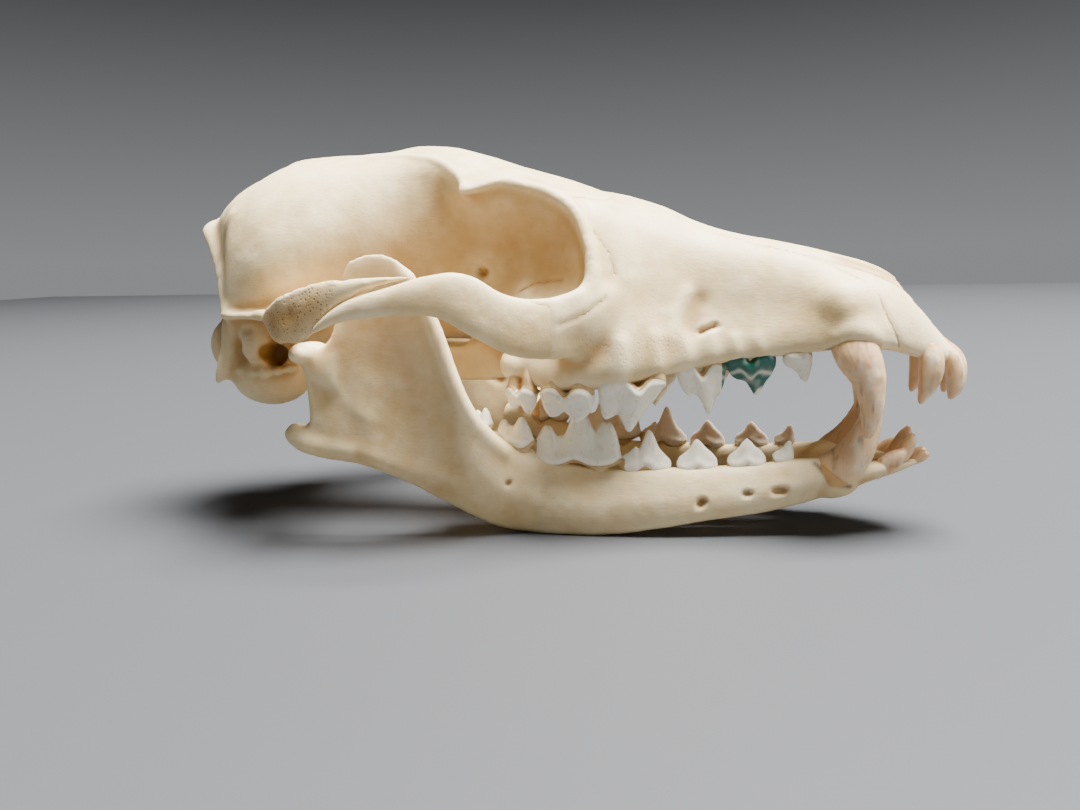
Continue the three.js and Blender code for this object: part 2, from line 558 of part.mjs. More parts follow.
function buildCranium() {
  const core = solidOf(capped(placesAlong(CRANIUM, CRANIUM_STEP).map(craniumSection)));
  const grown = [core];
  for (const side of Object.values(SIDES)) {
    grown.push(sided(bar(NUCHAL_CREST, PROCESS, CREST_LEAN), side));
    grown.push(sided(bar(PAROCCIPITAL, SHORT_BAR, FORWARD), side));
    grown.push(sided(bar(POSTORBITAL_PROCESS, PROCESS), side));
    grown.push(sided(bar(PTERYGOID_WALL, SHORT_BAR), side));
    grown.push(sided(bar(LACRIMAL_RIM, SLIM_BAR, FORWARD), side));
    grown.push(sided(bar(ZYGOMATIC_ROOT, LONG_BAR), side));
    grown.push(between(wholeArch(side), -CUT, PART.arch).intersect(aboveSuture(JOIN_GAP / 2)));
    grown.push(between(wholeArch(side), PART.arch + JOIN_GAP, CUT));
    grown.push(sided(lump(OCCIPITAL_CONDYLE, KNOB), side));
    grown.push(sided(lump(MASTOID, BUMP), side));
    grown.push(...toothRow(side, UPPER_TEETH, true));
  }
  const brainEnds = CRANIUM.filter(({ x }) => x >= BRAIN.rear && x <= BRAIN.front);
  const brainPlaces = [...placesAlong(brainEnds, CRANIUM_STEP), BRAIN.front];
  const hollows = [solidOf(capped(brainPlaces.map(hollowSection)))];
  hollows.push(solidOf(bore(FORAMEN_MAGNUM)), solidOf(bore(NASAL_OPENING)), solidOf(bore(CHOANA)));
  for (const side of Object.values(SIDES)) {
    hollows.push(sided(lump(roomFor(BULLA), CAPSULE), side));
    hollows.push(sided(lump(EAR_RECESS, BUMP), side));
    hollows.push(sided(bar(roomAlong(CONDYLE), JOINT_BAR, FORWARD), side));
  }
  return joined(grown).subtract(joined(hollows));
}

function wholeArch(side) {
  return sided(bar(ZYGOMATIC_ARCH, LONG_BAR), side).add(sided(lump(JUGAL_PEAK, BUMP), side));
}

// The squamosal lies over the jugal along a slanting suture: everything above that slant, behind its top
function aboveSuture(clear) {
  const { low, high } = SUTURE;
  const slant = new THREE.BoxGeometry(CUT, CUT, CUT);
  slant.translate(0, 0, CUT / 2 + clear);
  slant.rotateY(-Math.atan2(high[1] - low[1], high[0] - low[0]));
  slant.translate(low[0], 0, low[1]);
  return solidOf(slant);
}

function buildArch(side) {
  return largest(between(wholeArch(side), -CUT, PART.arch).subtract(aboveSuture(-JOIN_GAP / 2)));
}

function buildJaw(side) {
  const bones = [capped(placesAlong(JAW, JAW_STEP).map(jawSection))];
  bones.push(bar(CONDYLE, JOINT_BAR, FORWARD), bar(CONDYLE_NECK, SHORT_BAR));
  bones.push(bar(ANGULAR_PROCESS, PROCESS), bar(TOOTH_SHELF, SHORT_BAR));
  bones.push(bar(SYMPHYSIS, SHORT_BAR));
  const whole = joined([...bones.map((bone) => sided(bone, side)), ...toothRow(side, LOWER_TEETH, false)])
    .subtract(sided(lump(MASSETER_HOLLOW, HOLLOW), side));
  const near = side < 0 ? [-CUT, -JOIN_GAP / 2] : [JOIN_GAP / 2, CUT];
  return largest(whole.intersect(blockFrom([-CUT, near[0], REST_FLAT], [CUT, near[1], CUT])));
}

function buildBulla(side) {
  return sided(lump(BULLA, CAPSULE), side).subtract(sided(lump(MEATUS, KNOB), side));
}

// Bone is bleached cream, warmer where it is porous
const FINISH = {
  bone: new THREE.MeshStandardMaterial({ color: 0xe9dfc6, roughness: 0.55, metalness: 0 }),
  porous: new THREE.MeshStandardMaterial({ color: 0xdcc9a3, roughness: 0.7, metalness: 0 }),
  jaw: new THREE.MeshStandardMaterial({ color: 0xe6dabd, roughness: 0.5, metalness: 0 }),
};

const skull = new THREE.Group();

function place(name, solid, material) {
  const { numProp, vertProperties, triVerts } = solid.getMesh();
  const geometry = new THREE.BufferGeometry();
  geometry.setAttribute('position', new THREE.BufferAttribute(vertProperties, numProp));
  geometry.setIndex(new THREE.BufferAttribute(triVerts, 1));
  const mesh = new THREE.Mesh(geometry, material);
  mesh.name = name;
  skull.add(mesh);
}

const cranium = buildCranium();
const cuts = [PART.occiput, PART.frontal, PART.snout, PART.premaxilla];
const ends = [-CUT, ...cuts, CUT];
['occiput', 'braincase', 'frontal', 'snout', 'premaxilla'].forEach((name, i) => {
  const rear = ends[i] + (i > 0 ? JOIN_GAP / 2 : 0);
  const front = ends[i + 1] - (i < cuts.length ? JOIN_GAP / 2 : 0);
  place(name, largest(between(cranium, rear, front)), FINISH.bone);
});
for (const [name, side] of Object.entries(SIDES)) {
  place(`zygomatic_arch_${name}`, buildArch(side), FINISH.porous);
  place(`bulla_${name}`, buildBulla(side), FINISH.porous);
  place(`mandible_${name}`, buildJaw(side), FINISH.jaw);
}

// The origin goes to the middle of the footprint, at the height of the flats
const box = new THREE.Box3().setFromObject(skull);
const middle = box.getCenter(new THREE.Vector3());
skull.position.set(-middle.x, -middle.y, -box.min.z);
skull.updateMatrixWorld(true);

export default skull;
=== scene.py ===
"""Looks of a jackal skull: cranium, cheek bones, two jaw halves and every tooth, as dry bleached bone.

Shapes are worked out in a skull frame in millimetres, +X to the snout, +Y to the animal's left and
+Z up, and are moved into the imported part's frame and into metres as the last step of each piece.
"""
import logging
import math
from dataclasses import dataclass
from enum import Enum
from typing import Iterable, Sequence

import bmesh
import bpy
import numpy as np
from mathutils import Matrix, Vector
from mathutils.kdtree import KDTree

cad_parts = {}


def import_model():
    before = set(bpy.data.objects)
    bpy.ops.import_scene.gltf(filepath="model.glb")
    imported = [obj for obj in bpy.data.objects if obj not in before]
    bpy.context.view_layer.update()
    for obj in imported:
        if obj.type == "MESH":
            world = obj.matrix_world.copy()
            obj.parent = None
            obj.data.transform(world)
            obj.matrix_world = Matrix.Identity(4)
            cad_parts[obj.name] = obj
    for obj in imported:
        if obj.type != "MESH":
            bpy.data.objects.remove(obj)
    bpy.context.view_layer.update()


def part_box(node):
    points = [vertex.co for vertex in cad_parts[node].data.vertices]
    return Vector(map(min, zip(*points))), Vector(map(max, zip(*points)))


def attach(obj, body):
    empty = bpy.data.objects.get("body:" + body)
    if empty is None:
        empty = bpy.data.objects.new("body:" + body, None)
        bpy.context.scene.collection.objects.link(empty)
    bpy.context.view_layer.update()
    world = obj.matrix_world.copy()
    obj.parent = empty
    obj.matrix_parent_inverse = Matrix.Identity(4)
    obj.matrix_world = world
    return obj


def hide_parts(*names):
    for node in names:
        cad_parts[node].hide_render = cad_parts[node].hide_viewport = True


log = logging.getLogger("skull")

MM = 0.001
SNOUT_REAR = 10.6        # X of the snout node's flat rear face in the skull frame
JAW_REST = 0.55          # how far the skull frame's zero lies below the jaw's flats
# Width in mm of a face of each skin, before it is thinned out
BONE_VOXEL = 0.62
JAW_VOXEL = 0.55
CHEEK_VOXEL = 0.4
TOOTH_VOXEL = 0.24
# Most triangles in one piece
PIECE_LIMIT = 190000
# Value of a tooth's height mask at its neck line
NECK = 0.5
# X in mm beyond which a tooth counts as a canine, and as an incisor
CANINES = 53.5
INCISORS = 69.5

# Directions that a bar's half height leans to
UP = (0, 0, 1)
FORWARD = (1, 0, 0)
OUTWARD = (0, 1, 0)
CREST_LEAN = (1, 0, 0.4)

# Seeded value noise: numbers in its table, and the primes and shift that scatter a cell's place over them
NOISE_VALUES = 4096
NOISE_PRIMES = (374761393, 668265263, 1274126177)
NOISE_SHIFT = 13


class Side(Enum):
    """The two sides of the skull, as the sign of Y."""

    RIGHT = -1
    LEFT = 1


@dataclass(frozen=True)
class Station:
    """One place along a bent bar: centre in mm, half width across the bar and half height."""

    x: float
    y: float
    z: float
    wide: float
    tall: float


@dataclass(frozen=True)
class Mass:
    """A rounded mass: centre, half sizes in mm and a turn about Z in radians."""

    at: tuple[float, float, float]
    size: tuple[float, float, float]
    turn: float = 0.0


@dataclass(frozen=True)
class Mark:
    """A line on the bone: its points in mm, half width, and height where a groove is negative."""

    path: tuple[tuple[float, float, float], ...]
    width: float
    height: float


@dataclass(frozen=True)
class Patch:
    """A soft patch of colour: its line in mm, half width and strength.

    With on_skin, the line is first moved to the nearest points of the skin.
    """

    path: tuple[tuple[float, float, float], ...]
    width: float
    strength: float
    on_skin: bool = False


@dataclass(frozen=True)
class Relief:
    """Seeded unevenness: its height in mm, the distance in mm over which it changes, and its seed."""

    height: float
    size: float
    seed: int


@dataclass(frozen=True)
class ShadeAndTan:
    """Painted shade on bleached bone by its form, over an even tan: more tan underneath, in hollows and in
    creases, less on top and on crests, where each depth is the one in mm that counts in full.
    """

    level: float = 0.25
    below: float = 0.21
    hollow: float = 0.26
    crease: float = 0.14
    hollow_rounds: int = 30
    hollow_depth: float = 0.5
    crease_rounds: int = 5
    crease_depth: float = 0.08


def stations(*rows: tuple[float, float, float, float, float]) -> tuple[Station, ...]:
    """Make stations from rows of x, y, z, half width and half height."""
    return tuple(Station(*row) for row in rows)


def blend_rows(rows: np.ndarray, x: float) -> np.ndarray:
    """Monotone cubic through a table sorted by its first column.

    Args:
        rows: one station per row, its place in the first column.
        x: the place wanted.

    Returns:
        The row at that place.
    """
    places = rows[:, 0]
    i = int(np.clip(np.searchsorted(places, x) - 1, 0, len(rows) - 2))
    secants = np.diff(rows, axis=0) / np.diff(places)[:, None]

    def slope(j: int) -> np.ndarray:
        """Slope of each column at a row, flat where the column turns."""
        if j in (0, len(rows) - 1):
            return secants[min(j, len(rows) - 2)]
        before, after = secants[j - 1], secants[j]
        safe = np.where(np.abs(before + after) < 1e-9, 1.0, before + after)
        return np.where(before * after > 0, 2 * before * after / safe, 0.0)

    span = places[i + 1] - places[i]
    t = (x - places[i]) / span
    a, b = rows[i], rows[i + 1]
    m, n = slope(i) * span, slope(i + 1) * span
    return a + m * t + (3 * (b - a) - 2 * m - n) * t**2 + (2 * (a - b) + m + n) * t**3


def smooth_path(points: np.ndarray, steps: int, closed: bool = False) -> np.ndarray:
    """Catmull-Rom curve through points.

    Args:
        points: one point per row, of any number of columns.
        steps: how many places each span gets.
        closed: whether the last point joins the first.

    Returns:
        The places along the curve, one per row.
    """
    count = len(points)
    if closed:
        padded = np.vstack([points[-1], points, points[0], points[1]])
        spans = count
    else:
        first = 2 * points[0] - points[1]
        last = 2 * points[-1] - points[-2]
        padded = np.vstack([first, points, last])
        spans = count - 1
    t = np.linspace(0, 1, steps, endpoint=False)[:, None]
    out = []
    for i in range(spans):
        a, b, c, d = padded[i:i + 4]
        out.append(0.5 * (2 * b + (c - a) * t + (2 * a - 5 * b + 4 * c - d) * t**2
                          + (3 * b - a - 3 * c + d) * t**3))
    if not closed:
        out.append(points[-1][None, :])
    return np.vstack(out)


class Clay:
    """Overlapping closed shells in one bmesh, which a remesh then makes one skin."""

    def __init__(self) -> None:
        """Start with no shells."""
        self.bm = bmesh.new()

    def loft(self, rings: np.ndarray) -> None:
        """Skin a row of rings and close both ends.

        Args:
            rings: array of ring, point, xyz in mm; each ring has the same number of points.
        """
        count, sides = rings.shape[:2]
        made = bmesh.ops.create_grid(self.bm, x_segments=count - 1, y_segments=sides, size=1.0)
        verts = made["verts"]
        for vert in verts:
            i = round((vert.co.x + 1) / 2 * (count - 1))
            j = round((vert.co.y + 1) / 2 * sides)
            vert.co = Vector(rings[i, j % sides])
        bmesh.ops.remove_doubles(self.bm, verts=verts, dist=1e-5)
        alive = [v for v in verts if v.is_valid]
        edges = list({e for v in alive for e in v.link_edges if e.is_boundary})
        caps = bmesh.ops.holes_fill(self.bm, edges=edges, sides=0)["faces"]
        faces = list({f for v in alive for f in v.link_faces} | set(caps))
        bmesh.ops.recalc_face_normals(self.bm, faces=faces)

    def bar(self, row: Sequence[Station], side: Side, up: tuple = UP, sides: int = 20, steps: int = 8,
            power: float = 1.0) -> None:
        """Carry an oval section along a smooth path.

        Args:
            row: stations along the bar, on the left side of the skull.
            side: the side to make it on.
            up: the direction that the half height leans to.
            sides: points round the section.
            steps: sections between two stations.
            power: below 1 makes the section squarer.
        """
        data = np.array([(s.x, s.y * side.value, s.z, s.wide, s.tall) for s in row])
        path = smooth_path(data, steps)
        along = np.gradient(path[:, :3], axis=0)
        along /= np.linalg.norm(along, axis=1, keepdims=True)
        lift = np.array(up, float)
        lift[1] *= side.value
        upright = lift - along * (along @ lift)[:, None]
        upright /= np.linalg.norm(upright, axis=1, keepdims=True)
        across = np.cross(upright, along)
        angle = np.linspace(0, 2 * math.pi, sides, endpoint=False)
        c = np.sign(np.cos(angle)) * np.abs(np.cos(angle)) ** power
        s = np.sign(np.sin(angle)) * np.abs(np.sin(angle)) ** power
        rings = (path[:, None, :3] + across[:, None] * (path[:, 3, None, None] * c[None, :, None])
                 + upright[:, None] * (path[:, 4, None, None] * s[None, :, None]))
        self.loft(rings)

    def lump(self, mass: Mass, side: Side, around: int = 32, down: int = 20) -> None:
        """Add a rounded mass.

        Args:
            mass: its place and half sizes.
            side: the side to make it on.
            around: points round its middle.
            down: rings from pole to pole.
        """
        made = bmesh.ops.create_uvsphere(self.bm, u_segments=around, v_segments=down, radius=1.0)
        turn = Matrix.Rotation(mass.turn * side.value, 4, "Z")
        place = Matrix.Translation((mass.at[0], mass.at[1] * side.value, mass.at[2]))
        shape = place @ turn @ Matrix.Diagonal((*mass.size, 1))
        bmesh.ops.transform(self.bm, matrix=shape, verts=made["verts"])

    def object(self, name: str) -> bpy.types.Object:
        """Turn the shells into an object.

        Args:
            name: the piece's name.

        Returns:
            The new object, in mm.
        """
        mesh = bpy.data.meshes.new(name)
        self.bm.to_mesh(mesh)
        self.bm.free()
        obj = bpy.data.objects.new(name, mesh)
        bpy.context.scene.collection.objects.link(obj)
        return obj


def apply_modifiers(obj: bpy.types.Object) -> None:
    """Make what the modifiers show the object's own mesh.

    Args:
        obj: the object, which keeps no modifier.
    """
    graph = bpy.context.evaluated_depsgraph_get()
    made = bpy.data.meshes.new_from_object(obj.evaluated_get(graph))
    old = obj.data
    obj.modifiers.clear()
    obj.data = made
    bpy.data.meshes.remove(old)


def remesh(obj: bpy.types.Object, voxel: float, fillet: float = 0.0, smooth: int = 3) -> None:
    """Make one skin of overlapping shells, with its inner corners filled.

    Args:
        obj: the object whose shells overlap.
        voxel: size of the skin's faces in mm.
        fillet: how far the shells swell and shrink again, which rounds their inner corners.
        smooth: rounds of smoothing.
    """
    def skin() -> None:
        """Add a step that makes one skin."""
        made = obj.modifiers.new("skin", "REMESH")
        made.mode = "VOXEL"
        made.voxel_size = voxel

    def swell(by: float) -> None:
        """Add a step that moves the skin outwards by a distance in mm."""
        made = obj.modifiers.new("swell", "DISPLACE")
        made.strength = by
        made.mid_level = 0.0
        made.direction = "NORMAL"

    skin()
    if fillet:
        swell(fillet)
        skin()
        swell(-fillet)
        skin()
    if smooth:
        made = obj.modifiers.new("smooth", "SMOOTH")
        made.factor = 0.5
        made.iterations = smooth
    apply_modifiers(obj)


def carve(obj: bpy.types.Object, tool: bpy.types.Object) -> None:
    """Cut one object's volume out of another and delete the tool.

    Args:
        obj: the object that is cut.
        tool: the object whose volume goes.
    """
    made = obj.modifiers.new("cut", "BOOLEAN")
    made.operation = "DIFFERENCE"
    made.solver = "EXACT"
    made.object = tool
    apply_modifiers(obj)
    bpy.data.objects.remove(tool)


def add_shells(obj: bpy.types.Object, extra: bpy.types.Object) -> None:
    """Put another object's shells into an object's mesh and delete the other one.

    Args:
        obj: the object that grows.
        extra: the object whose shells it takes.
    """
    bm = bmesh.new()
    bm.from_mesh(obj.data)
    bm.from_mesh(extra.data)
    bm.to_mesh(obj.data)
    bm.free()
    bpy.data.objects.remove(extra)


def thin_out(obj: bpy.types.Object) -> None:
    """Bring a piece under the limit of triangles, keeping the most faces where it bends most."""
    count = sum(len(p.vertices) - 2 for p in obj.data.polygons)
    if count > PIECE_LIMIT:
        made = obj.modifiers.new("fewer", "DECIMATE")
        made.ratio = PIECE_LIMIT / count
        apply_modifiers(obj)


class Surface:
    """A finished skin's points and normals, for shaping and colouring it by place."""

    def __init__(self, obj: bpy.types.Object) -> None:
        """Read the object's points.

        Args:
            obj: the object, in mm.
        """
        self.obj = obj
        self.co = self._read("position")
        self.normal = self._normals()
        self.tree = KDTree(len(self.co))
        for i, place in enumerate(self.folded):
            self.tree.insert(place, i)
        self.tree.balance()

    def _read(self, what: str) -> np.ndarray:
        """Read a vector attribute, one row per point."""
        mesh = self.obj.data
        flat = np.empty(len(mesh.vertices) * 3, np.float32)
        mesh.attributes[what].data.foreach_get("vector", flat)
        return flat.reshape(-1, 3).astype(float)

    def _normals(self) -> np.ndarray:
        """Read the points' normals, one row per point."""
        mesh = self.obj.data
        flat = np.empty(len(mesh.vertices) * 3, np.float32)
        mesh.vertices.foreach_get("normal", flat)
        return flat.reshape(-1, 3).astype(float)

    @property
    def folded(self) -> np.ndarray:
        """The points with both sides of the skull laid on the left."""
        return np.column_stack([self.co[:, 0], np.abs(self.co[:, 1]), self.co[:, 2]])

    def line(self, path: Sequence[Sequence[float]], on_skin: bool) -> np.ndarray:
        """A smooth line through points, on both sides of the skull at once.

        Args:
            path: the line's points in mm, on the left side.
            on_skin: whether each place of the line moves to the nearest point of the skin.

        Returns:
            The places along the line.
        """
        points = np.array(path, float)
        line = smooth_path(points, 6) if len(points) > 1 else points
        if not on_skin:
            return line
        laid = np.array([tuple(self.tree.find(place)[0]) for place in line])
        for _ in range(3 if len(laid) > 2 else 0):
            laid[1:-1] = (laid[:-2] + 2 * laid[1:-1] + laid[2:]) / 4
        return laid

    def distance(self, path: Sequence[Sequence[float]], reach: float, on_skin: bool) -> np.ndarray:
        """How far each point is from a line.

        Args:
            path: the line's points in mm, on the left side.
            reach: the distance beyond which points don't matter.
            on_skin: whether the line is laid on the skin first.

        Returns:
            One distance per point.
        """
        line = self.line(path, on_skin)
        points = self.folded
        best = np.full(len(points), reach)
        close = np.all((points > line.min(axis=0) - reach) & (points < line.max(axis=0) + reach), axis=1)
        chosen = points[close]
        nearest = np.full(len(chosen), reach)
        for a, b in zip(line, [*line[1:], line[-1]]):
            ab = b - a
            t = np.clip(((chosen - a) @ ab) / max(ab @ ab, 1e-9), 0, 1)
            nearest = np.minimum(nearest, np.linalg.norm(chosen - a - t[:, None] * ab, axis=1))
        best[close] = nearest
        return best

    def near(self, path: Sequence[Sequence[float]], width: float, on_skin: bool = False) -> np.ndarray:
        """A soft mask that is 1 on a line and fades out with distance."""
        return np.exp(-((self.distance(path, 4 * width, on_skin) / width) ** 2))

    def hollowness(self, rounds: int) -> np.ndarray:
        """Compare the skin with a smoothed copy of itself.

        Args:
            rounds: how many times the copy is smoothed, so how wide the forms are that count.

        Returns:
            Depth below the copy in mm per point, negative on crests.
        """
        edges = np.empty(len(self.obj.data.edges) * 2, np.int32)
        self.obj.data.edges.foreach_get("vertices", edges)
        a, b = edges.reshape(-1, 2).T
        count = len(self.co)
        links = np.maximum(np.bincount(a, minlength=count) + np.bincount(b, minlength=count), 1)
        smooth = self.co.copy()
        for _ in range(rounds):
            sums = [np.bincount(a, smooth[b, i], count) + np.bincount(b, smooth[a, i], count)
                    for i in range(3)]
            smooth = np.column_stack(sums) / links[:, None]
        return np.sum((smooth - self.co) * self.normal, axis=1)

    def shade_and_tan(self, tan_shade: ShadeAndTan = ShadeAndTan()) -> np.ndarray:
        """Painted shade as tan by the bone's form, over an even tan: more in hollows and underneath, less on
        crests and on top.
        """
        hollow = np.clip(self.hollowness(tan_shade.hollow_rounds) / tan_shade.hollow_depth, -1, 1)
        crease = np.clip(self.hollowness(tan_shade.crease_rounds) / tan_shade.crease_depth, -1, 1)
        return tan_shade.level - tan_shade.below * self.normal[:, 2] + tan_shade.hollow * hollow + tan_shade.crease * crease

    def cover(self, patches: Iterable[Patch]) -> np.ndarray:
        """The strength of the strongest of some soft patches at each point."""
        masks = [patch.strength * self.near(patch.path, patch.width, patch.on_skin) for patch in patches]
        return np.maximum.reduce([np.zeros(len(self.co)), *masks])

    def seams(self, marks: Iterable[Mark]) -> np.ndarray:
        """Closeness to the nearest of some lines, which falls evenly from 1 to 0 over 2 mm."""
        reach = 2.0
        gaps = [self.distance(mark.path, reach, True) for mark in marks]
        return 1 - np.minimum.reduce(gaps) / reach

    def push(self, amount: np.ndarray) -> None:
        """Move each point along its normal by its own amount in mm."""
        self.co += self.normal * amount[:, None]

    def roughen(self, reliefs: Iterable[Relief]) -> None:
        """Make the surface uneven."""
        self.push(sum(relief.height * value_noise(self.co, relief.size, relief.seed) for relief in reliefs))

    def draw(self, marks: Iterable[Mark]) -> None:
        """Raise or sink lines."""
        for mark in marks:
            self.push(mark.height * self.near(mark.path, mark.width, True))

    def paint(self, name: str, values: np.ndarray) -> None:
        """Store one number per point as an attribute that the material reads.

        Args:
            name: the attribute's name.
            values: one number per point, 0 to 1.
        """
        made = self.obj.data.attributes.new(name, "FLOAT", "POINT")
        made.data.foreach_set("value", np.clip(values, 0, 1).astype(np.float32))

    def dress(self, tan: Iterable[Patch], shade_patches: Iterable[Patch] = (), porous: Iterable[Patch] = (),
              sutures: Sequence[Mark] = ()) -> None:
        """Store the masks that the bone's material reads.

        Args:
            tan: patches of tan that are added to the even tan and painted shade of the bone's form.
            shade_patches: dark patches of painted shade in holes, sockets and gaps.
            porous: patches of open pores.
            sutures: lines that hold soil.
        """
        # The warm mask: an even tan, painted shade underneath, in hollows and in creases, less on tops and
        # crests, and the tan patches
        self.paint("warm", self.shade_and_tan() + self.cover(tan))
        self.paint("dirt", self.cover(shade_patches))
        self.paint("pores", self.cover(porous))
        self.paint("seam", self.seams(sutures) if sutures else np.zeros(len(self.co)))

    def store(self) -> None:
        """Write the points back."""
        flat = self.co.astype(np.float32).ravel()
        self.obj.data.attributes["position"].data.foreach_set("vector", flat)
        self.obj.data.update()


def value_noise(points: np.ndarray, size: float, seed: int) -> np.ndarray:
    """Smooth random values in space.

    Args:
        points: one point per row.
        size: distance over which the values change, in the points' unit.
        seed: which pattern.

    Returns:
        One value per point, from -1 to 1.
    """
    rng = np.random.default_rng(seed)
    table = rng.uniform(-1, 1, NOISE_VALUES)
    grid = points / size
    cell = np.floor(grid).astype(int)
    part = grid - cell
    ease = part * part * (3 - 2 * part)
    total = np.zeros(len(points))
    for corner in range(8):
        step = np.array([corner & 1, corner >> 1 & 1, corner >> 2 & 1])
        weight = np.prod(np.where(step, ease, 1 - ease), axis=1)
        key = (cell + step) @ np.array(NOISE_PRIMES)
        total += weight * table[(key ^ (key >> NOISE_SHIFT)) % NOISE_VALUES]
    return total


class Placer:
    """Moves finished pieces from the skull frame in mm to the part's frame in metres."""

    def __init__(self) -> None:
        """Find the shift from the snout node's rear face and the jaw's flats."""
        low, _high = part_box("snout")
        self.shift = Vector((low.x - SNOUT_REAR * MM, 0.0, -JAW_REST * MM))

    def matrix(self) -> Matrix:
        """The transform from the skull frame to the part's."""
        return Matrix.Translation(self.shift) @ Matrix.Scale(MM, 4)

    def settle(self, obj: bpy.types.Object, nodes: Sequence[str]) -> None:
        """Place a piece, smooth its shading, hang it under the root and hide the nodes that it takes the
        place of.

        Args:
            obj: the piece, in mm.
            nodes: the nodes that it takes the place of.
        """
        obj.data.transform(self.matrix())
        obj.data.shade_smooth()
        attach(obj, "root")
        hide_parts(*nodes)
        count = sum(len(p.vertices) - 2 for p in obj.data.polygons)
        log.info("%s: %d triangles", obj.name, count)


def colour(hex_code: str) -> tuple[float, float, float, float]:
    """Turn an sRGB hex value to linear RGBA."""
    parts = [int(hex_code[i:i + 2], 16) / 255 for i in (1, 3, 5)]
    linear = [p / 12.92 if p <= 0.04045 else ((p + 0.055) / 1.055) ** 2.4 for p in parts]
    return (*linear, 1.0)


def add_node(tree: bpy.types.NodeTree, kind: str, settings: dict | None = None,
             links: dict | None = None) -> bpy.types.Node:
    """Add a node with its settings and links.

    Args:
        tree: the material's node tree.
        kind: the node's type name.
        settings: values of its properties and, for names or numbers of inputs, of its sockets.
        links: input name or number to the output socket that feeds it.

    Returns:
        The new node.
    """
    node = tree.nodes.new(kind)
    for key, value in (settings or {}).items():
        if isinstance(key, str) and hasattr(node, key):
            setattr(node, key, value)
        else:
            node.inputs[key].default_value = value
    for key, socket in (links or {}).items():
        tree.links.new(socket, node.inputs[key])
    return node


def ramp(tree: bpy.types.NodeTree, factor: bpy.types.NodeSocket,
         stops: Sequence[tuple[float, str]]) -> bpy.types.NodeSocket:
    """Add a colour ramp.

    Args:
        tree: the node tree.
        factor: the socket that drives it.
        stops: places and sRGB hex colours.

    Returns:
        The colour output.
    """
    node = add_node(tree, "ShaderNodeValToRGB", links={"Fac": factor})
    marks = node.color_ramp.elements
    while len(marks) < len(stops):
        marks.new(0.5)
    for mark, (place, code) in zip(marks, stops):
        mark.position = place
        mark.color = colour(code)
    return node.outputs["Color"]


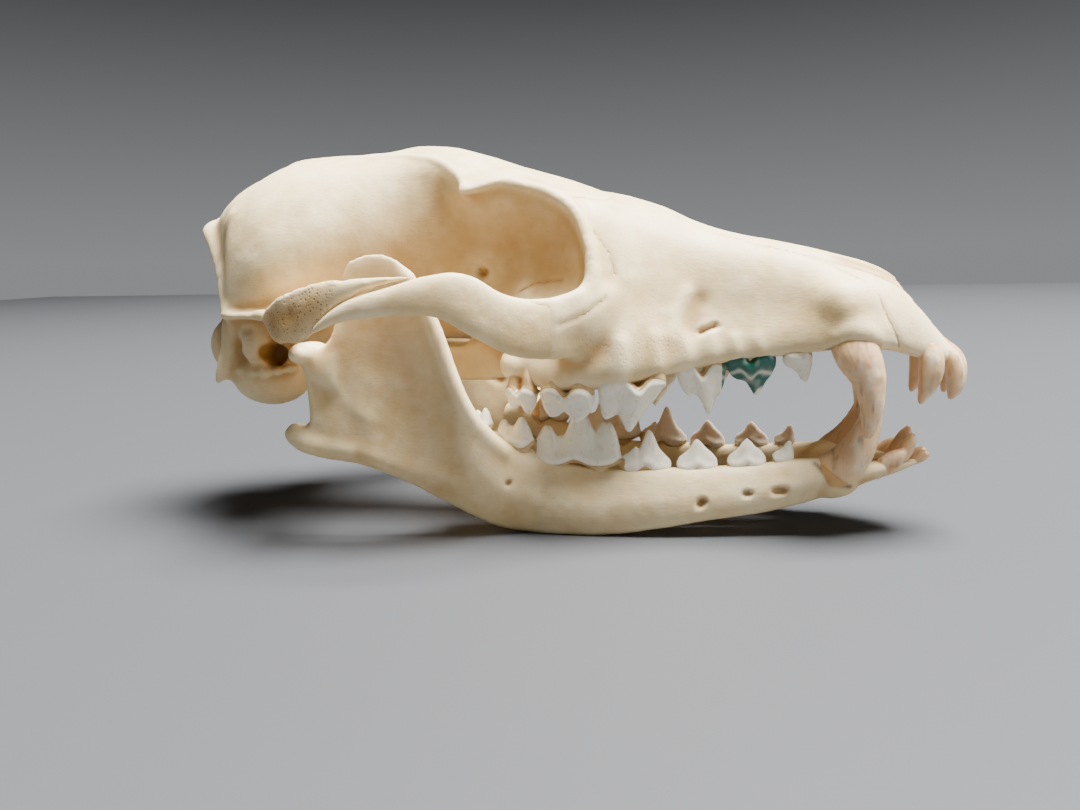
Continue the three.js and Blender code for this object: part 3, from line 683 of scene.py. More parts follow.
@dataclass(frozen=True)
class BoneFinish:
    """Dry mammal bone, degreased and bleached: an ivory skin that is tan where it is porous, with painted
    shade as tan where it is hollow or faces down.

    To the eye it is satin and a little translucent, so thin edges look warm and no face looks painted.
    """

    name: str
    pale: str = "#F5E1B4"
    base: str = "#E8CD97"
    warm: str = "#B98C4C"
    soil: str = "#8A6238"
    dark: str = "#4E3015"
    roughness: float = 0.5
    mottle_mm: float = 9.0   # clouds of paler and deeper ivory
    blotch_mm: float = 3.2   # ragged edges of the tan patches
    grain_mm: float = 0.5    # fibres along the bone, coarser than the real 0.1 mm so that they show
    pore_mm: float = 0.75    # spacing of open pores, coarser than the real 0.4 mm so that they show
    zigzag_mm: float = 0.9   # spacing of a suture line's teeth
    zigzag: float = 0.26     # how far they stray, as a share of the seam mask
    seam_mm: float = 0.16    # half width of a suture's dark line
    bump_mm: float = 0.26    # depth of the grain and pores
    glow_mm: float = 1.2     # how far light spreads under the surface
    ior: float = 1.5
    specular: float = 0.35

    def make(self) -> bpy.types.Material:
        """Build the material from attributes warm, dirt, pores and seam and from object coordinates."""
        material = bpy.data.materials.new(self.name)
        material.use_nodes = True
        tree = material.node_tree
        tree.nodes.clear()
        place = add_node(tree, "ShaderNodeTexCoord").outputs["Object"]
        masks = {name: add_node(tree, "ShaderNodeAttribute", {"attribute_name": name}).outputs["Fac"]
                 for name in ("warm", "dirt", "pores", "seam")}
        mottle = add_node(tree, "ShaderNodeTexNoise", {"Scale": 1 / (self.mottle_mm * MM), "Detail": 5.0,
                                                       "Roughness": 0.55}, {"Vector": place}).outputs["Fac"]
        body = ramp(tree, mottle, [(0.34, self.base), (0.64, self.pale)])
        blotch = add_node(tree, "ShaderNodeTexNoise", {"Scale": 1 / (self.blotch_mm * MM), "Detail": 4.0},
                          {"Vector": place}).outputs["Fac"]
        # Tan by the warm mask: the bone's tan, with painted shade underneath, in hollows and in creases
        patchy = add_node(tree, "ShaderNodeMath", {"operation": "MULTIPLY_ADD", 1: 0.4},
                          {0: blotch, 2: masks["warm"]}).outputs[0]
        level = add_node(tree, "ShaderNodeMapRange", {"From Min": 0.2, "From Max": 1.15},
                         {"Value": patchy}).outputs[0]
        tinted = add_node(tree, "ShaderNodeMix", {"data_type": "RGBA", 7: colour(self.warm)},
                          {0: level, 6: body}).outputs[2]
        stretch = add_node(tree, "ShaderNodeMapping", {"Scale": (0.2, 1.0, 1.0)},
                           {"Vector": place}).outputs[0]
        grain = add_node(tree, "ShaderNodeTexNoise", {"Scale": 1 / (self.grain_mm * MM), "Detail": 6.0,
                                                      "Roughness": 0.62}, {"Vector": stretch}).outputs["Fac"]
        streak = add_node(tree, "ShaderNodeMapRange", {"From Min": 0.56, "From Max": 0.74, "To Max": 0.3},
                          {"Value": grain}).outputs[0]
        streaked = add_node(tree, "ShaderNodeMix", {"data_type": "RGBA", 7: colour(self.warm)},
                            {0: streak, 6: tinted}).outputs[2]
        # Dark by the dirt mask: painted shade in holes, sockets and gaps
        soiled_and_shaded = add_node(tree, "ShaderNodeMix", {"data_type": "RGBA", 7: colour(self.dark)},
                          {0: masks["dirt"], 6: streaked}).outputs[2]
        zigzag = add_node(tree, "ShaderNodeTexNoise", {"Scale": 1 / (self.zigzag_mm * MM), "Detail": 3.0},
                          {"Vector": place}).outputs["Fac"]
        wandering = add_node(tree, "ShaderNodeMath", {"operation": "MULTIPLY_ADD", 1: self.zigzag},
                             {0: zigzag, 2: masks["seam"]}).outputs[0]
        # The mask falls over 2 mm, and the noise adds half its reach on average
        edge = 1 + self.zigzag / 2 - self.seam_mm / 2
        crack = add_node(tree, "ShaderNodeMapRange", {"From Min": edge - 0.07, "From Max": edge},
                         {"Value": wandering}).outputs[0]
        faint = add_node(tree, "ShaderNodeMath", {"operation": "MULTIPLY", 1: 0.4}, {0: crack}).outputs[0]
        seamed = add_node(tree, "ShaderNodeMix", {"data_type": "RGBA", 7: colour(self.soil)},
                          {0: faint, 6: soiled_and_shaded}).outputs[2]
        cells = add_node(tree, "ShaderNodeTexVoronoi", {"Scale": 1 / (self.pore_mm * MM)},
                         {"Vector": place}).outputs["Distance"]
        holes = add_node(tree, "ShaderNodeMapRange", {"From Min": 0.12, "From Max": 0.42},
                         {"Value": cells}).outputs[0]
        pitted = add_node(tree, "ShaderNodeMath", {"operation": "MULTIPLY"},
                          {0: holes, 1: masks["pores"]}).outputs[0]
        rough = add_node(tree, "ShaderNodeMath", {"operation": "MULTIPLY_ADD", 1: 0.5},
                         {0: grain, 2: pitted}).outputs[0]
        height = add_node(tree, "ShaderNodeMath", {"operation": "MULTIPLY_ADD", 1: -0.8},
                          {0: crack, 2: rough}).outputs[0]
        bump = add_node(tree, "ShaderNodeBump", {"Strength": 0.45, "Distance": self.bump_mm * MM},
                        {"Height": height}).outputs[0]
        sunk = add_node(tree, "ShaderNodeMath", {"operation": "SUBTRACT", "use_clamp": True},
                        {0: masks["pores"], 1: holes}).outputs[0]
        spotted = add_node(tree, "ShaderNodeMix", {"data_type": "RGBA", 7: colour(self.dark)},
                           {0: sunk, 6: seamed}).outputs[2]
        shader = add_node(tree, "ShaderNodeBsdfPrincipled",
                          {"Roughness": self.roughness, "IOR": self.ior, "Subsurface Weight": 0.1,
                           "Subsurface Radius": (1.0, 0.55, 0.3), "Subsurface Scale": self.glow_mm * MM,
                           "Specular IOR Level": self.specular},
                          {"Base Color": spotted, "Normal": bump})
        add_node(tree, "ShaderNodeOutputMaterial", links={"Surface": shader.outputs[0]})
        return material


@dataclass(frozen=True)
class EnamelFinish:
    """Tooth enamel over yellower dentine: cream on the crown, and tan below a dark neck line.

    To the eye it is whiter and glossier than the bone, so each crown catches the light.
    """

    name: str = "enamel"
    crown: str = "#FDF5DE"
    neck: str = "#E0CBA2"
    line: str = "#86603A"
    root: str = "#D2B27C"
    tan: str = "#DCA052"
    green: str = "#0E5C4C"
    dark: str = "#5A3819"
    roughness: float = 0.3
    cloud_mm: float = 1.6    # uneven edge of the neck line and of the tan
    craze_mm: float = 2.6    # spacing of fine upright cracks
    ripple_mm: float = 0.5   # ripples of the glaze, coarser than the real ones so that they show

    def make(self) -> bpy.types.Material:
        """Build the material from attributes height, tan, green and dirt, where height 0.5 is the neck."""
        material = bpy.data.materials.new(self.name)
        material.use_nodes = True
        tree = material.node_tree
        tree.nodes.clear()
        place = add_node(tree, "ShaderNodeTexCoord").outputs["Object"]
        masks = {name: add_node(tree, "ShaderNodeAttribute", {"attribute_name": name}).outputs["Fac"]
                 for name in ("height", "tan", "green", "dirt")}
        cloud = add_node(tree, "ShaderNodeTexNoise", {"Scale": 1 / (self.cloud_mm * MM), "Detail": 4.0},
                         {"Vector": place}).outputs["Fac"]
        uneven = add_node(tree, "ShaderNodeMath", {"operation": "MULTIPLY_ADD", 1: 0.1},
                          {0: cloud, 2: masks["height"]}).outputs[0]
        body = ramp(tree, uneven, [(0.2, self.root), (0.47, self.root), (0.52, self.line), (0.56, self.neck),
                                   (0.7, self.crown)])
        # Tan by the tan mask: the front teeth's tan, with painted shade in hollows and on the left side's
        # teeth
        tan_shade_cloud = add_node(tree, "ShaderNodeMath", {"operation": "MULTIPLY_ADD", 1: 0.5, "use_clamp": True},
                          {0: cloud, 2: masks["tan"]}).outputs[0]
        tan_shade = add_node(tree, "ShaderNodeMapRange", {"From Min": 0.27, "From Max": 1.3},
                       {"Value": tan_shade_cloud}).outputs[0]
        tan_shaded = add_node(tree, "ShaderNodeMix", {"data_type": "RGBA", 7: colour(self.tan)},
                        {0: tan_shade, 6: body}).outputs[2]
        stained = add_node(tree, "ShaderNodeMix", {"data_type": "RGBA", 7: colour(self.green)},
                           {0: masks["green"], 6: tan_shaded}).outputs[2]
        upright = add_node(tree, "ShaderNodeMapping", {"Scale": (1.0, 1.0, 0.16)},
                           {"Vector": place}).outputs[0]
        veins = add_node(tree, "ShaderNodeTexNoise", {"Scale": 1 / (self.craze_mm * MM), "Detail": 2.0,
                                                      "Distortion": 0.6}, {"Vector": upright}).outputs["Fac"]
        off = add_node(tree, "ShaderNodeMath", {"operation": "SUBTRACT", 1: 0.5}, {0: veins}).outputs[0]
        gap = add_node(tree, "ShaderNodeMath", {"operation": "ABSOLUTE"}, {0: off}).outputs[0]
        crack = add_node(tree, "ShaderNodeMapRange", {"From Min": 0.008, "From Max": 0.001, "To Max": 0.22},
                         {"Value": gap}).outputs[0]
        cracked = add_node(tree, "ShaderNodeMix", {"data_type": "RGBA", 7: colour(self.line)},
                           {0: crack, 6: stained}).outputs[2]
        # Dark by the dirt mask: specks and cracks, with painted shade in fine creases
        soiled_and_shaded = add_node(tree, "ShaderNodeMix", {"data_type": "RGBA", 7: colour(self.dark)},
                          {0: masks["dirt"], 6: cracked}).outputs[2]
        fine = add_node(tree, "ShaderNodeTexNoise", {"Scale": 1 / (self.ripple_mm * MM), "Detail": 5.0},
                        {"Vector": place}).outputs["Fac"]
        bump = add_node(tree, "ShaderNodeBump", {"Strength": 0.18, "Distance": 0.12 * MM},
                        {"Height": fine}).outputs[0]
        shader = add_node(tree, "ShaderNodeBsdfPrincipled",
                          {"Roughness": self.roughness, "IOR": 1.6, "Subsurface Weight": 0.15,
                           "Subsurface Radius": (1.0, 0.7, 0.5), "Subsurface Scale": 1.2 * MM},
                          {"Base Color": soiled_and_shaded, "Normal": bump})
        add_node(tree, "ShaderNodeOutputMaterial", links={"Surface": shader.outputs[0]})
        return material


CRANIUM_TABLE = np.array([
    # x, top, roof y, roof z, side y, side z, base y, base z, floor
    (-87.0, 68.0, 5.0, 64.5, 4.0, 58.0, 3.6, 50.0, 48.0),
    (-84.0, 72.5, 9.0, 67.8, 7.4, 56.0, 8.6, 43.5, 41.0),
    (-80.5, 75.4, 12.6, 70.8, 12.6, 55.0, 13.8, 42.0, 38.8),
    (-77.0, 77.6, 15.2, 72.6, 17.6, 55.0, 18.0, 42.0, 37.2),
    (-72.0, 80.3, 17.5, 74.8, 24.6, 57.0, 21.0, 42.5, 36.5),
    (-62.0, 84.0, 18.5, 78.0, 27.0, 60.5, 20.5, 43.5, 37.0),
    (-52.0, 84.7, 17.5, 78.8, 25.2, 62.5, 17.5, 45.5, 38.0),
    (-42.0, 85.0, 14.5, 79.8, 19.8, 64.5, 12.5, 48.0, 40.0),
    (-33.0, 86.1, 11.5, 81.5, 14.5, 67.0, 9.5, 50.0, 41.5),
    (-26.0, 85.5, 12.8, 81.0, 12.5, 67.0, 8.8, 50.0, 41.5),
    (-18.0, 83.4, 16.5, 77.5, 11.0, 64.5, 9.5, 47.0, 40.0),
    (-10.5, 80.8, 15.8, 76.0, 10.4, 62.0, 14.0, 39.5, 37.0),
    (-6.0, 79.4, 14.8, 75.2, 11.0, 60.5, 19.5, 35.6, 36.0),
    (2.0, 76.9, 14.4, 73.0, 13.5, 59.0, 22.3, 33.4, 35.3),
    (8.0, 74.7, 14.8, 70.2, 18.0, 57.5, 22.6, 33.6, 35.3),
    (14.0, 73.3, 12.8, 67.6, 19.5, 54.0, 22.3, 34.2, 35.8),
    (22.0, 70.7, 10.2, 65.2, 16.0, 52.5, 19.3, 35.6, 36.9),
    (30.0, 66.9, 8.4, 62.5, 12.6, 51.5, 15.2, 37.0, 38.2),
    (38.0, 64.5, 7.6, 60.6, 11.4, 50.5, 13.2, 38.4, 39.5),
    (48.0, 62.4, 7.0, 58.6, 10.8, 50.0, 12.0, 39.2, 40.6),
    (57.0, 60.1, 7.2, 57.0, 12.5, 49.5, 13.2, 40.5, 41.6),
    (63.0, 58.3, 7.4, 55.6, 13.2, 49.0, 13.8, 41.2, 42.0),
    (69.0, 55.6, 7.0, 53.2, 11.6, 47.8, 12.0, 40.3, 41.2),
    (74.0, 50.2, 6.6, 49.0, 9.6, 45.0, 9.8, 38.8, 39.6),
    (79.0, 43.4, 5.2, 42.7, 7.6, 40.8, 7.4, 37.4, 37.6),
    (83.0, 38.7, 2.6, 38.5, 4.2, 37.9, 3.8, 37.0, 37.0),
])


def cranium_ring(x: float, steps: int) -> np.ndarray:
    """One section of the cranium.

    Args:
        x: its place in mm.
        steps: points on each eighth of the section.

    Returns:
        The section's points.
    """
    _x, top, roof_y, roof_z, side_y, side_z, base_y, base_z, floor = blend_rows(CRANIUM_TABLE, x)
    half = [(0.0, top), (roof_y, roof_z), (side_y, side_z), (base_y, base_z), (0.0, floor)]
    corners = [(-y, z) for y, z in half] + [(y, z) for y, z in half[-2:0:-1]]
    ring = smooth_path(np.array(corners), steps, closed=True)
    return np.column_stack([np.full(len(ring), x), ring])


@dataclass
class Cranium:
    """Braincase, face and palate as one skin, with the arches' roots and the ear capsules."""

    step: float = 1.3
    eighth: int = 10
    nuchal_crest: tuple[Station, ...] = stations(
        (-88.8, 0.0, 69.3, 1.8, 2.4), (-86.6, 6.5, 69.2, 1.4, 2.9), (-81.8, 12.6, 66.6, 1.1, 3.2),
        (-76.8, 18.0, 59.5, 1.0, 3.0), (-73.8, 22.0, 52.5, 1.1, 2.6), (-72.6, 24.4, 49.4, 1.6, 1.8))
    ledge: tuple[Station, ...] = stations(
        (-73.2, 23.8, 49.2, 1.8, 1.4), (-69.8, 25.9, 49.0, 1.4, 0.9), (-66.0, 26.7, 49.1, 1.2, 0.8),
        (-61.6, 26.8, 49.0, 1.6, 1.2))
    mastoid: tuple[Station, ...] = stations(
        (-67.6, 22.8, 47.4, 2.6, 2.2), (-67.2, 23.6, 44.2, 3.1, 2.2), (-66.8, 23.7, 41.2, 3.3, 2.1),
        (-66.4, 22.8, 38.8, 2.2, 1.6))
    paroccipital: tuple[Station, ...] = stations(
        (-74.4, 19.6, 47.0, 3.2, 1.9), (-75.2, 21.0, 41.6, 2.2, 1.2), (-76.8, 21.9, 37.0, 1.7, 0.9),
        (-78.3, 22.2, 32.8, 1.1, 0.7))
    postorbital: tuple[Station, ...] = stations(
        (-13.0, 8.0, 77.8, 9.5, 2.2), (-14.6, 14.0, 76.5, 7.0, 1.9), (-16.6, 18.6, 74.9, 3.2, 1.3),
        (-17.8, 21.0, 73.8, 1.1, 0.6))
    brow: tuple[Station, ...] = stations(
        (-17.0, 18.4, 75.0, 1.4, 1.2), (-9.0, 15.4, 75.8, 1.5, 1.3), (0.0, 14.6, 73.4, 1.6, 1.4),
        (6.0, 16.2, 69.0, 1.6, 1.6), (9.0, 19.0, 62.6, 1.7, 1.6), (10.2, 21.0, 56.4, 1.8, 1.8),
        (9.2, 22.8, 52.4, 1.8, 2.0))
    pterygoid: tuple[Station, ...] = stations(
        (-8.0, 8.4, 37.2, 1.4, 3.4), (-18.0, 7.4, 36.8, 0.9, 4.8), (-29.0, 6.9, 36.2, 0.7, 5.0),
        (-37.5, 6.9, 36.0, 0.7, 4.6), (-41.5, 7.4, 34.4, 0.7, 2.2))
    root: tuple[Station, ...] = stations(
        (-54.2, 21.0, 48.6, 7.6, 3.2), (-53.2, 29.0, 48.6, 6.8, 2.6), (-51.4, 35.6, 49.0, 5.2, 3.2),
        (-50.2, 38.6, 48.9, 3.8, 4.4))
    squamosal: tuple[Station, ...] = stations(
        (-54.3, 37.4, 48.6, 0.9, 1.3), (-52.6, 38.8, 48.0, 1.5, 3.8), (-49.2, 40.4, 48.6, 1.8, 5.2),
        (-45.6, 41.4, 49.9, 1.7, 5.2), (-42.2, 42.0, 51.7, 1.5, 4.5), (-37.6, 42.4, 53.9, 1.4, 3.0),
        (-30.0, 42.4, 56.1, 1.2, 1.5), (-22.0, 41.6, 57.1, 0.8, 0.8), (-17.5, 40.8, 57.5, 0.4, 0.3))
    cheek_root: tuple[Station, ...] = stations(
        (16.0, 15.5, 48.0, 3.0, 7.2), (10.6, 21.4, 47.5, 2.8, 7.3), (6.0, 25.0, 46.6, 2.5, 6.9),
        (2.8, 27.4, 46.1, 2.4, 6.7), (0.8, 28.9, 46.2, 1.7, 5.6), (-3.0, 32.0, 46.8, 0.9, 3.6))
    lip: tuple[Station, ...] = stations(
        (-6.0, 34.2, 52.6, 0.7, 0.7), (-1.0, 30.6, 51.2, 1.1, 1.2), (3.5, 27.2, 51.0, 1.4, 1.5),
        (8.0, 24.0, 52.4, 1.5, 1.6), (11.0, 20.4, 55.0, 1.3, 1.5), (12.2, 17.4, 58.0, 1.0, 1.2),
        (12.6, 14.2, 61.4, 0.6, 0.7))
    bulla: Mass = Mass((-67.8, 14.9, 35.0), (9.5, 7.0, 7.6), -0.3)
    occipital_condyle: Mass = Mass((-83.4, 8.4, 40.8), (4.6, 4.0, 6.0), 0.55)
    muzzle_swelling: Mass = Mass((60.5, 8.4, 47.5), (8.8, 5.6, 7.4))
    tuber: Mass = Mass((-8.4, 17.0, 37.6), (3.0, 4.0, 3.6))
    orbit: Mass = Mass((-5.0, 24.2, 60.4), (14.2, 12.6, 14.4), 0.08)
    ear_hole: tuple[Station, ...] = stations((-62.4, 30.0, 40.8, 2.3, 2.8), (-65.0, 14.0, 39.0, 2.3, 2.6))
    ear_recess: Mass = Mass((-70.0, 27.8, 45.6), (8.5, 3.2, 1.7))
    rim_beads: tuple[tuple[float, float, float], ...] = (
        (-74.6, 20.2, 36.9), (-71.8, 21.2, 36.1), (-68.8, 21.8, 35.7), (-65.8, 21.9, 35.8),
        (-62.8, 21.2, 36.1), (-60.2, 19.6, 36.6))
    glenoid: tuple[Station, ...] = stations((-48.2, 26.0, 41.4, 3.2, 3.6), (-48.4, 41.5, 41.6, 3.0, 3.2))
    magnum: tuple[Station, ...] = stations((-96.0, 0.0, 46.2, 6.8, 5.6), (-80.0, 0.0, 49.6, 6.8, 5.6),
                                           (-66.0, 0.0, 52.5, 9.0, 8.0))
    nostril: tuple[Station, ...] = stations((86.0, 0.0, 50.6, 5.6, 4.6), (72.0, 0.0, 48.8, 5.6, 5.4),
                                            (58.0, 0.0, 48.6, 4.4, 4.6))
    choana: tuple[Station, ...] = stations((-62.0, 0.0, 35.6, 5.2, 2.6), (-38.0, 0.0, 36.6, 5.4, 3.8),
                                           (-13.0, 0.0, 37.8, 5.6, 4.2), (-6.0, 0.0, 39.6, 5.0, 3.0))
    sutures: tuple[Mark, ...] = (
        Mark(((73.0, 0.0, 53.6), (60.0, 0.0, 59.3), (38.0, 0.0, 64.6), (8.0, 0.0, 74.8)), 0.5, -0.2),
        Mark(((8.0, 0.0, 74.8), (-12.0, 0.0, 81.3), (-36.0, 0.0, 86.0)), 0.5, -0.1),
        Mark(((71.0, 5.6, 52.0), (62.5, 5.0, 54.6), (53.7, 5.0, 58.9), (45.7, 5.0, 61.8), (39.1, 5.0, 64.5),
              (24.0, 3.4, 69.4), (6.0, 1.2, 75.4)), 0.6, -0.22),
        Mark(((70.4, 11.6, 41.0), (67.4, 11.0, 46.6), (62.4, 8.6, 54.0), (53.7, 5.0, 58.9)), 0.6, -0.22),
        Mark(((6.0, 1.2, 75.4), (12.0, 5.0, 73.0), (10.0, 9.6, 71.6), (4.8, 14.0, 73.4)), 0.5, -0.16),
        Mark(((4.8, 14.0, 73.4), (6.2, 15.4, 70.0), (7.4, 16.4, 66.4), (13.0, 18.4, 62.0),
              (15.0, 20.0, 57.0)), 0.5, -0.16),
        Mark(((-2.0, 27.6, 41.1), (-1.4, 28.0, 44.1), (4.0, 27.6, 46.9), (8.8, 26.4, 48.4),
              (13.0, 22.6, 51.6)), 0.55, -0.22),
        Mark(((-8.2, 14.0, 53.4), (-3.9, 14.0, 55.3), (-1.4, 14.0, 55.6), (2.1, 14.4, 55.4)), 0.5, -0.2),
        Mark(((10.0, 12.0, 34.6), (10.4, 6.0, 35.4), (16.0, 0.0, 36.2)), 0.5, -0.2),
        Mark(((-8.0, 0.0, 36.4), (40.0, 0.0, 39.8), (80.0, 0.0, 37.7)), 0.5, -0.2),
    )
    ridges: tuple[Mark, ...] = (
        Mark(((-17.5, 19.4, 75.2), (-22.5, 14.6, 80.6), (-32.0, 10.4, 83.8), (-48.0, 8.0, 83.9),
              (-64.0, 4.6, 83.2), (-78.0, 1.2, 77.6)), 0.9, 0.45),
        Mark(((-70.0, 0.0, 81.0), (-80.0, 0.0, 76.2), (-88.0, 0.0, 71.0)), 1.4, 0.9),
        Mark(((-83.0, 0.0, 66.0), (-86.5, 0.0, 60.0), (-85.0, 0.0, 54.0)), 1.6, 0.5),
        Mark(((-74.0, 20.5, 72.0), (-76.4, 18.0, 66.0), (-76.6, 18.4, 58.0)), 1.4, 0.4),
        Mark(((29.0, 14.2, 52.4), (27.4, 14.8, 50.2), (26.2, 15.4, 47.2), (25.4, 16.0, 43.6)), 2.0, 0.55),
        Mark(((66.4, 12.6, 42.4), (63.0, 13.6, 44.4), (58.6, 13.4, 43.2)), 1.6, 0.35),
        Mark(((63.0, 13.6, 43.0), (61.0, 12.6, 48.0), (57.4, 11.0, 53.0)), 3.4, 0.7),
        Mark(((16.0, 21.6, 36.0), (16.0, 20.4, 42.0)), 2.0, 0.5),
        Mark(((23.0, 19.0, 37.4), (22.0, 17.4, 43.0)), 1.8, 0.5),
        Mark(((34.0, 14.4, 39.0), (33.0, 13.0, 44.0)), 1.6, 0.4),
        Mark(((29.0, 15.6, 38.4), (28.0, 14.0, 43.0)), 1.6, 0.35),
        Mark(((43.6, 12.4, 39.6), (43.0, 11.6, 43.0)), 1.3, 0.3),
        Mark(((38.6, 13.0, 39.4), (38.2, 12.2, 43.0)), 1.3, 0.3),
        Mark(((-54.2, 38.6, 50.0), (-52.4, 40.0, 52.0), (-48.9, 41.6, 54.0), (-43.0, 42.8, 56.6),
              (-36.6, 43.2, 57.2)), 0.7, 0.45),
        Mark(((-40.0, 21.0, 52.0), (-47.0, 25.4, 51.6), (-55.0, 27.6, 51.4), (-63.0, 27.2, 49.4)), 1.3, 0.5),
    )
    dips: tuple[Mark, ...] = (
        Mark(((31.2, 13.8, 50.8), (30.0, 14.4, 47.8), (29.6, 14.8, 45.0)), 2.4, -0.8),
        Mark(((36.0, 12.6, 48.4), (43.0, 11.4, 48.8), (50.0, 11.6, 48.4)), 5.0, -0.4),
        Mark(((-50.0, 25.0, 56.0), (-44.0, 21.0, 58.0)), 6.0, -0.5),
        Mark(((-20.0, 13.0, 79.5), (-26.0, 12.0, 76.0)), 4.0, -0.5),
        Mark(((-82.0, 9.0, 60.0), (-79.0, 14.0, 56.0)), 4.0, -0.8),
        Mark(((-47.5, 42.4, 50.0), (-51.5, 40.4, 48.6)), 2.6, -0.45),
        Mark(((6.0, 27.4, 43.6), (12.0, 24.0, 42.0)), 3.0, -0.4),
    )
    pits: tuple[Mark, ...] = (
        Mark(((-17.0, 11.0, 57.4),), 1.0, -2.2),
        Mark(((-20.0, 10.8, 52.0),), 0.9, -1.8),
        Mark(((31.4, 14.4, 44.3), (34.2, 13.8, 45.6)), 0.6, -1.2),
        Mark(((-69.3, 23.8, 42.7),), 0.9, -1.6),
        Mark(((72.0, 3.4, 38.8), (66.0, 3.8, 41.6)), 1.5, -1.6),
        Mark(((20.0, 7.4, 36.6), (17.0, 7.6, 36.2)), 0.9, -1.0),
    )
    # The orbit's wall and the underside of the arch's root, as painted shade; the arch's lobe, the ear, the
    # nose's tip, the nape and the tooth sockets, as tan
    tan: tuple[Patch, ...] = (
        Patch(((-8.0, 14.0, 62.0),), 13.0, 0.22),
        Patch(((-28.0, 14.0, 60.0), (-36.0, 16.0, 52.0)), 12.0, 0.25),
        Patch(((-52.0, 40.0, 48.6), (-47.0, 42.6, 50.0), (-41.0, 43.6, 53.0)), 6.5, 0.6),
        Patch(((-50.0, 34.0, 45.0), (-45.0, 40.0, 45.2)), 2.4, 0.9),
        Patch(((-63.0, 22.0, 40.6), (-64.0, 16.0, 39.4)), 3.4, 0.9),
        Patch(((72.4, 3.4, 52.6), (66.0, 4.4, 56.6), (60.0, 4.4, 58.6)), 2.6, 0.95),
        Patch(((-66.0, 22.0, 42.0),), 6.0, 0.5),
        Patch(((-86.0, 8.0, 44.0),), 8.0, 0.45),
        Patch(((31.0, 14.0, 47.0),), 4.0, 0.12),
        Patch(((61.0, 13.6, 41.4), (64.0, 13.6, 41.6)), 2.2, 0.6),
        Patch(((0.0, 22.0, 36.0), (20.0, 20.0, 37.0)), 4.0, 0.25),
        Patch(((10.0, 27.0, 40.0), (24.0, 17.0, 42.0)), 5.0, 0.12),
    )
    # Painted shade in the ear hole, round the canine's socket, at the nose's tip, in the small holes and in
    # the jaw's joint
    shade_patches: tuple[Patch, ...] = (
        Patch(((-64.6, 17.0, 39.6),), 3.4, 0.25),
        Patch(((56.6, 13.0, 40.4), (59.7, 13.4, 42.3), (63.7, 13.6, 43.3), (66.2, 13.2, 42.4)),
              0.5, 0.8, True),
        Patch(((70.4, 2.5, 55.0),), 1.6, 0.35),
        Patch(((-17.0, 10.6, 57.4),), 0.9, 0.8, True),
        Patch(((-20.0, 10.8, 52.0),), 0.8, 0.8, True),
        Patch(((31.4, 14.4, 44.3), (34.2, 13.8, 45.6)), 0.42, 0.7, True),
        Patch(((-69.3, 23.8, 42.7),), 0.9, 0.8, True),
        Patch(((-50.0, 33.0, 44.8), (-46.0, 38.0, 44.4)), 2.0, 0.6),
    )
    # The arch's lobe, the cheek above the molars, the orbit's rim and the nape
    porous: tuple[Patch, ...] = (
        Patch(((-52.4, 40.0, 48.4), (-47.0, 42.6, 50.0), (-41.0, 43.6, 53.0)), 6.0, 0.75),
        Patch(((10.0, 26.0, 41.0), (20.0, 20.0, 41.0), (27.0, 16.0, 43.0)), 3.6, 0.35),
        Patch(((13.0, 21.5, 56.0),), 3.0, 0.2),
        Patch(((-86.0, 6.0, 68.0), (-80.0, 13.0, 62.0)), 3.0, 0.25),
    )
    relief: tuple[Relief, ...] = (Relief(0.10, 5.0, 5), Relief(0.04, 1.8, 7))
    wander: Relief = Relief(0.35, 1.4, 3)   # how a suture strays to the front and back

    def clay(self) -> bpy.types.Object:
        """Lay up the overlapping shells."""
        clay = Clay()
        places = np.arange(CRANIUM_TABLE[0, 0], CRANIUM_TABLE[-1, 0], self.step)
        clay.loft(np.array([cranium_ring(x, self.eighth) for x in [*places, CRANIUM_TABLE[-1, 0]]]))
        for side in Side:
            clay.bar(self.nuchal_crest, side, up=CREST_LEAN)
            clay.bar(self.mastoid, side, up=OUTWARD)
            clay.bar(self.paroccipital, side, up=OUTWARD)
            for row in (self.postorbital, self.brow, self.pterygoid, self.root, self.squamosal):
                clay.bar(row, side)
            clay.bar(self.cheek_root, side, power=0.85)
            for mass in (self.bulla, self.occipital_condyle, self.muzzle_swelling, self.tuber):
                clay.lump(mass, side)
        return clay.object("cranium")

    def cutters(self) -> bpy.types.Object:
        """Lay up everything that is cut away."""
        clay = Clay()
        for side in Side:
            clay.lump(self.orbit, side, 48, 32)
            clay.bar(self.ear_hole, side)
            clay.lump(self.ear_recess, side)
            clay.bar(self.glenoid, side, up=FORWARD)
        for passage in (self.magnum, self.nostril, self.choana):
            clay.bar(passage, Side.LEFT)
        return clay.object("cranium_cutters")

    def rims(self) -> bpy.types.Object:
        """Lay up the thin rims that stand clear of what was cut away."""
        clay = Clay()
        for side in Side:
            clay.bar(self.lip, side)
            clay.bar(self.ledge, side)
            for i, (x, y, z) in enumerate(self.rim_beads):
                clay.lump(Mass((x, y, z), (1.7, 1.0, 0.9 + 0.3 * (i % 2))), side, 16, 10)
        return clay.object("cranium_rims")

    def shape(self, obj: bpy.types.Object) -> None:
        """Add the sutures, ridges, dips and pits, and store the colour masks.

        Args:
            obj: the cranium's skin in mm.
        """
        surface = Surface(obj)
        surface.draw(self.dips)
        surface.draw(self.ridges)
        stray = self.wander.height * value_noise(surface.co, self.wander.size, self.wander.seed)
        surface.co[:, 0] += stray
        surface.draw(self.sutures)
        surface.co[:, 0] -= stray
        surface.draw(self.pits)
        surface.roughen(self.relief)
        surface.dress(self.tan, self.shade_patches, self.porous, self.sutures)
        surface.store()

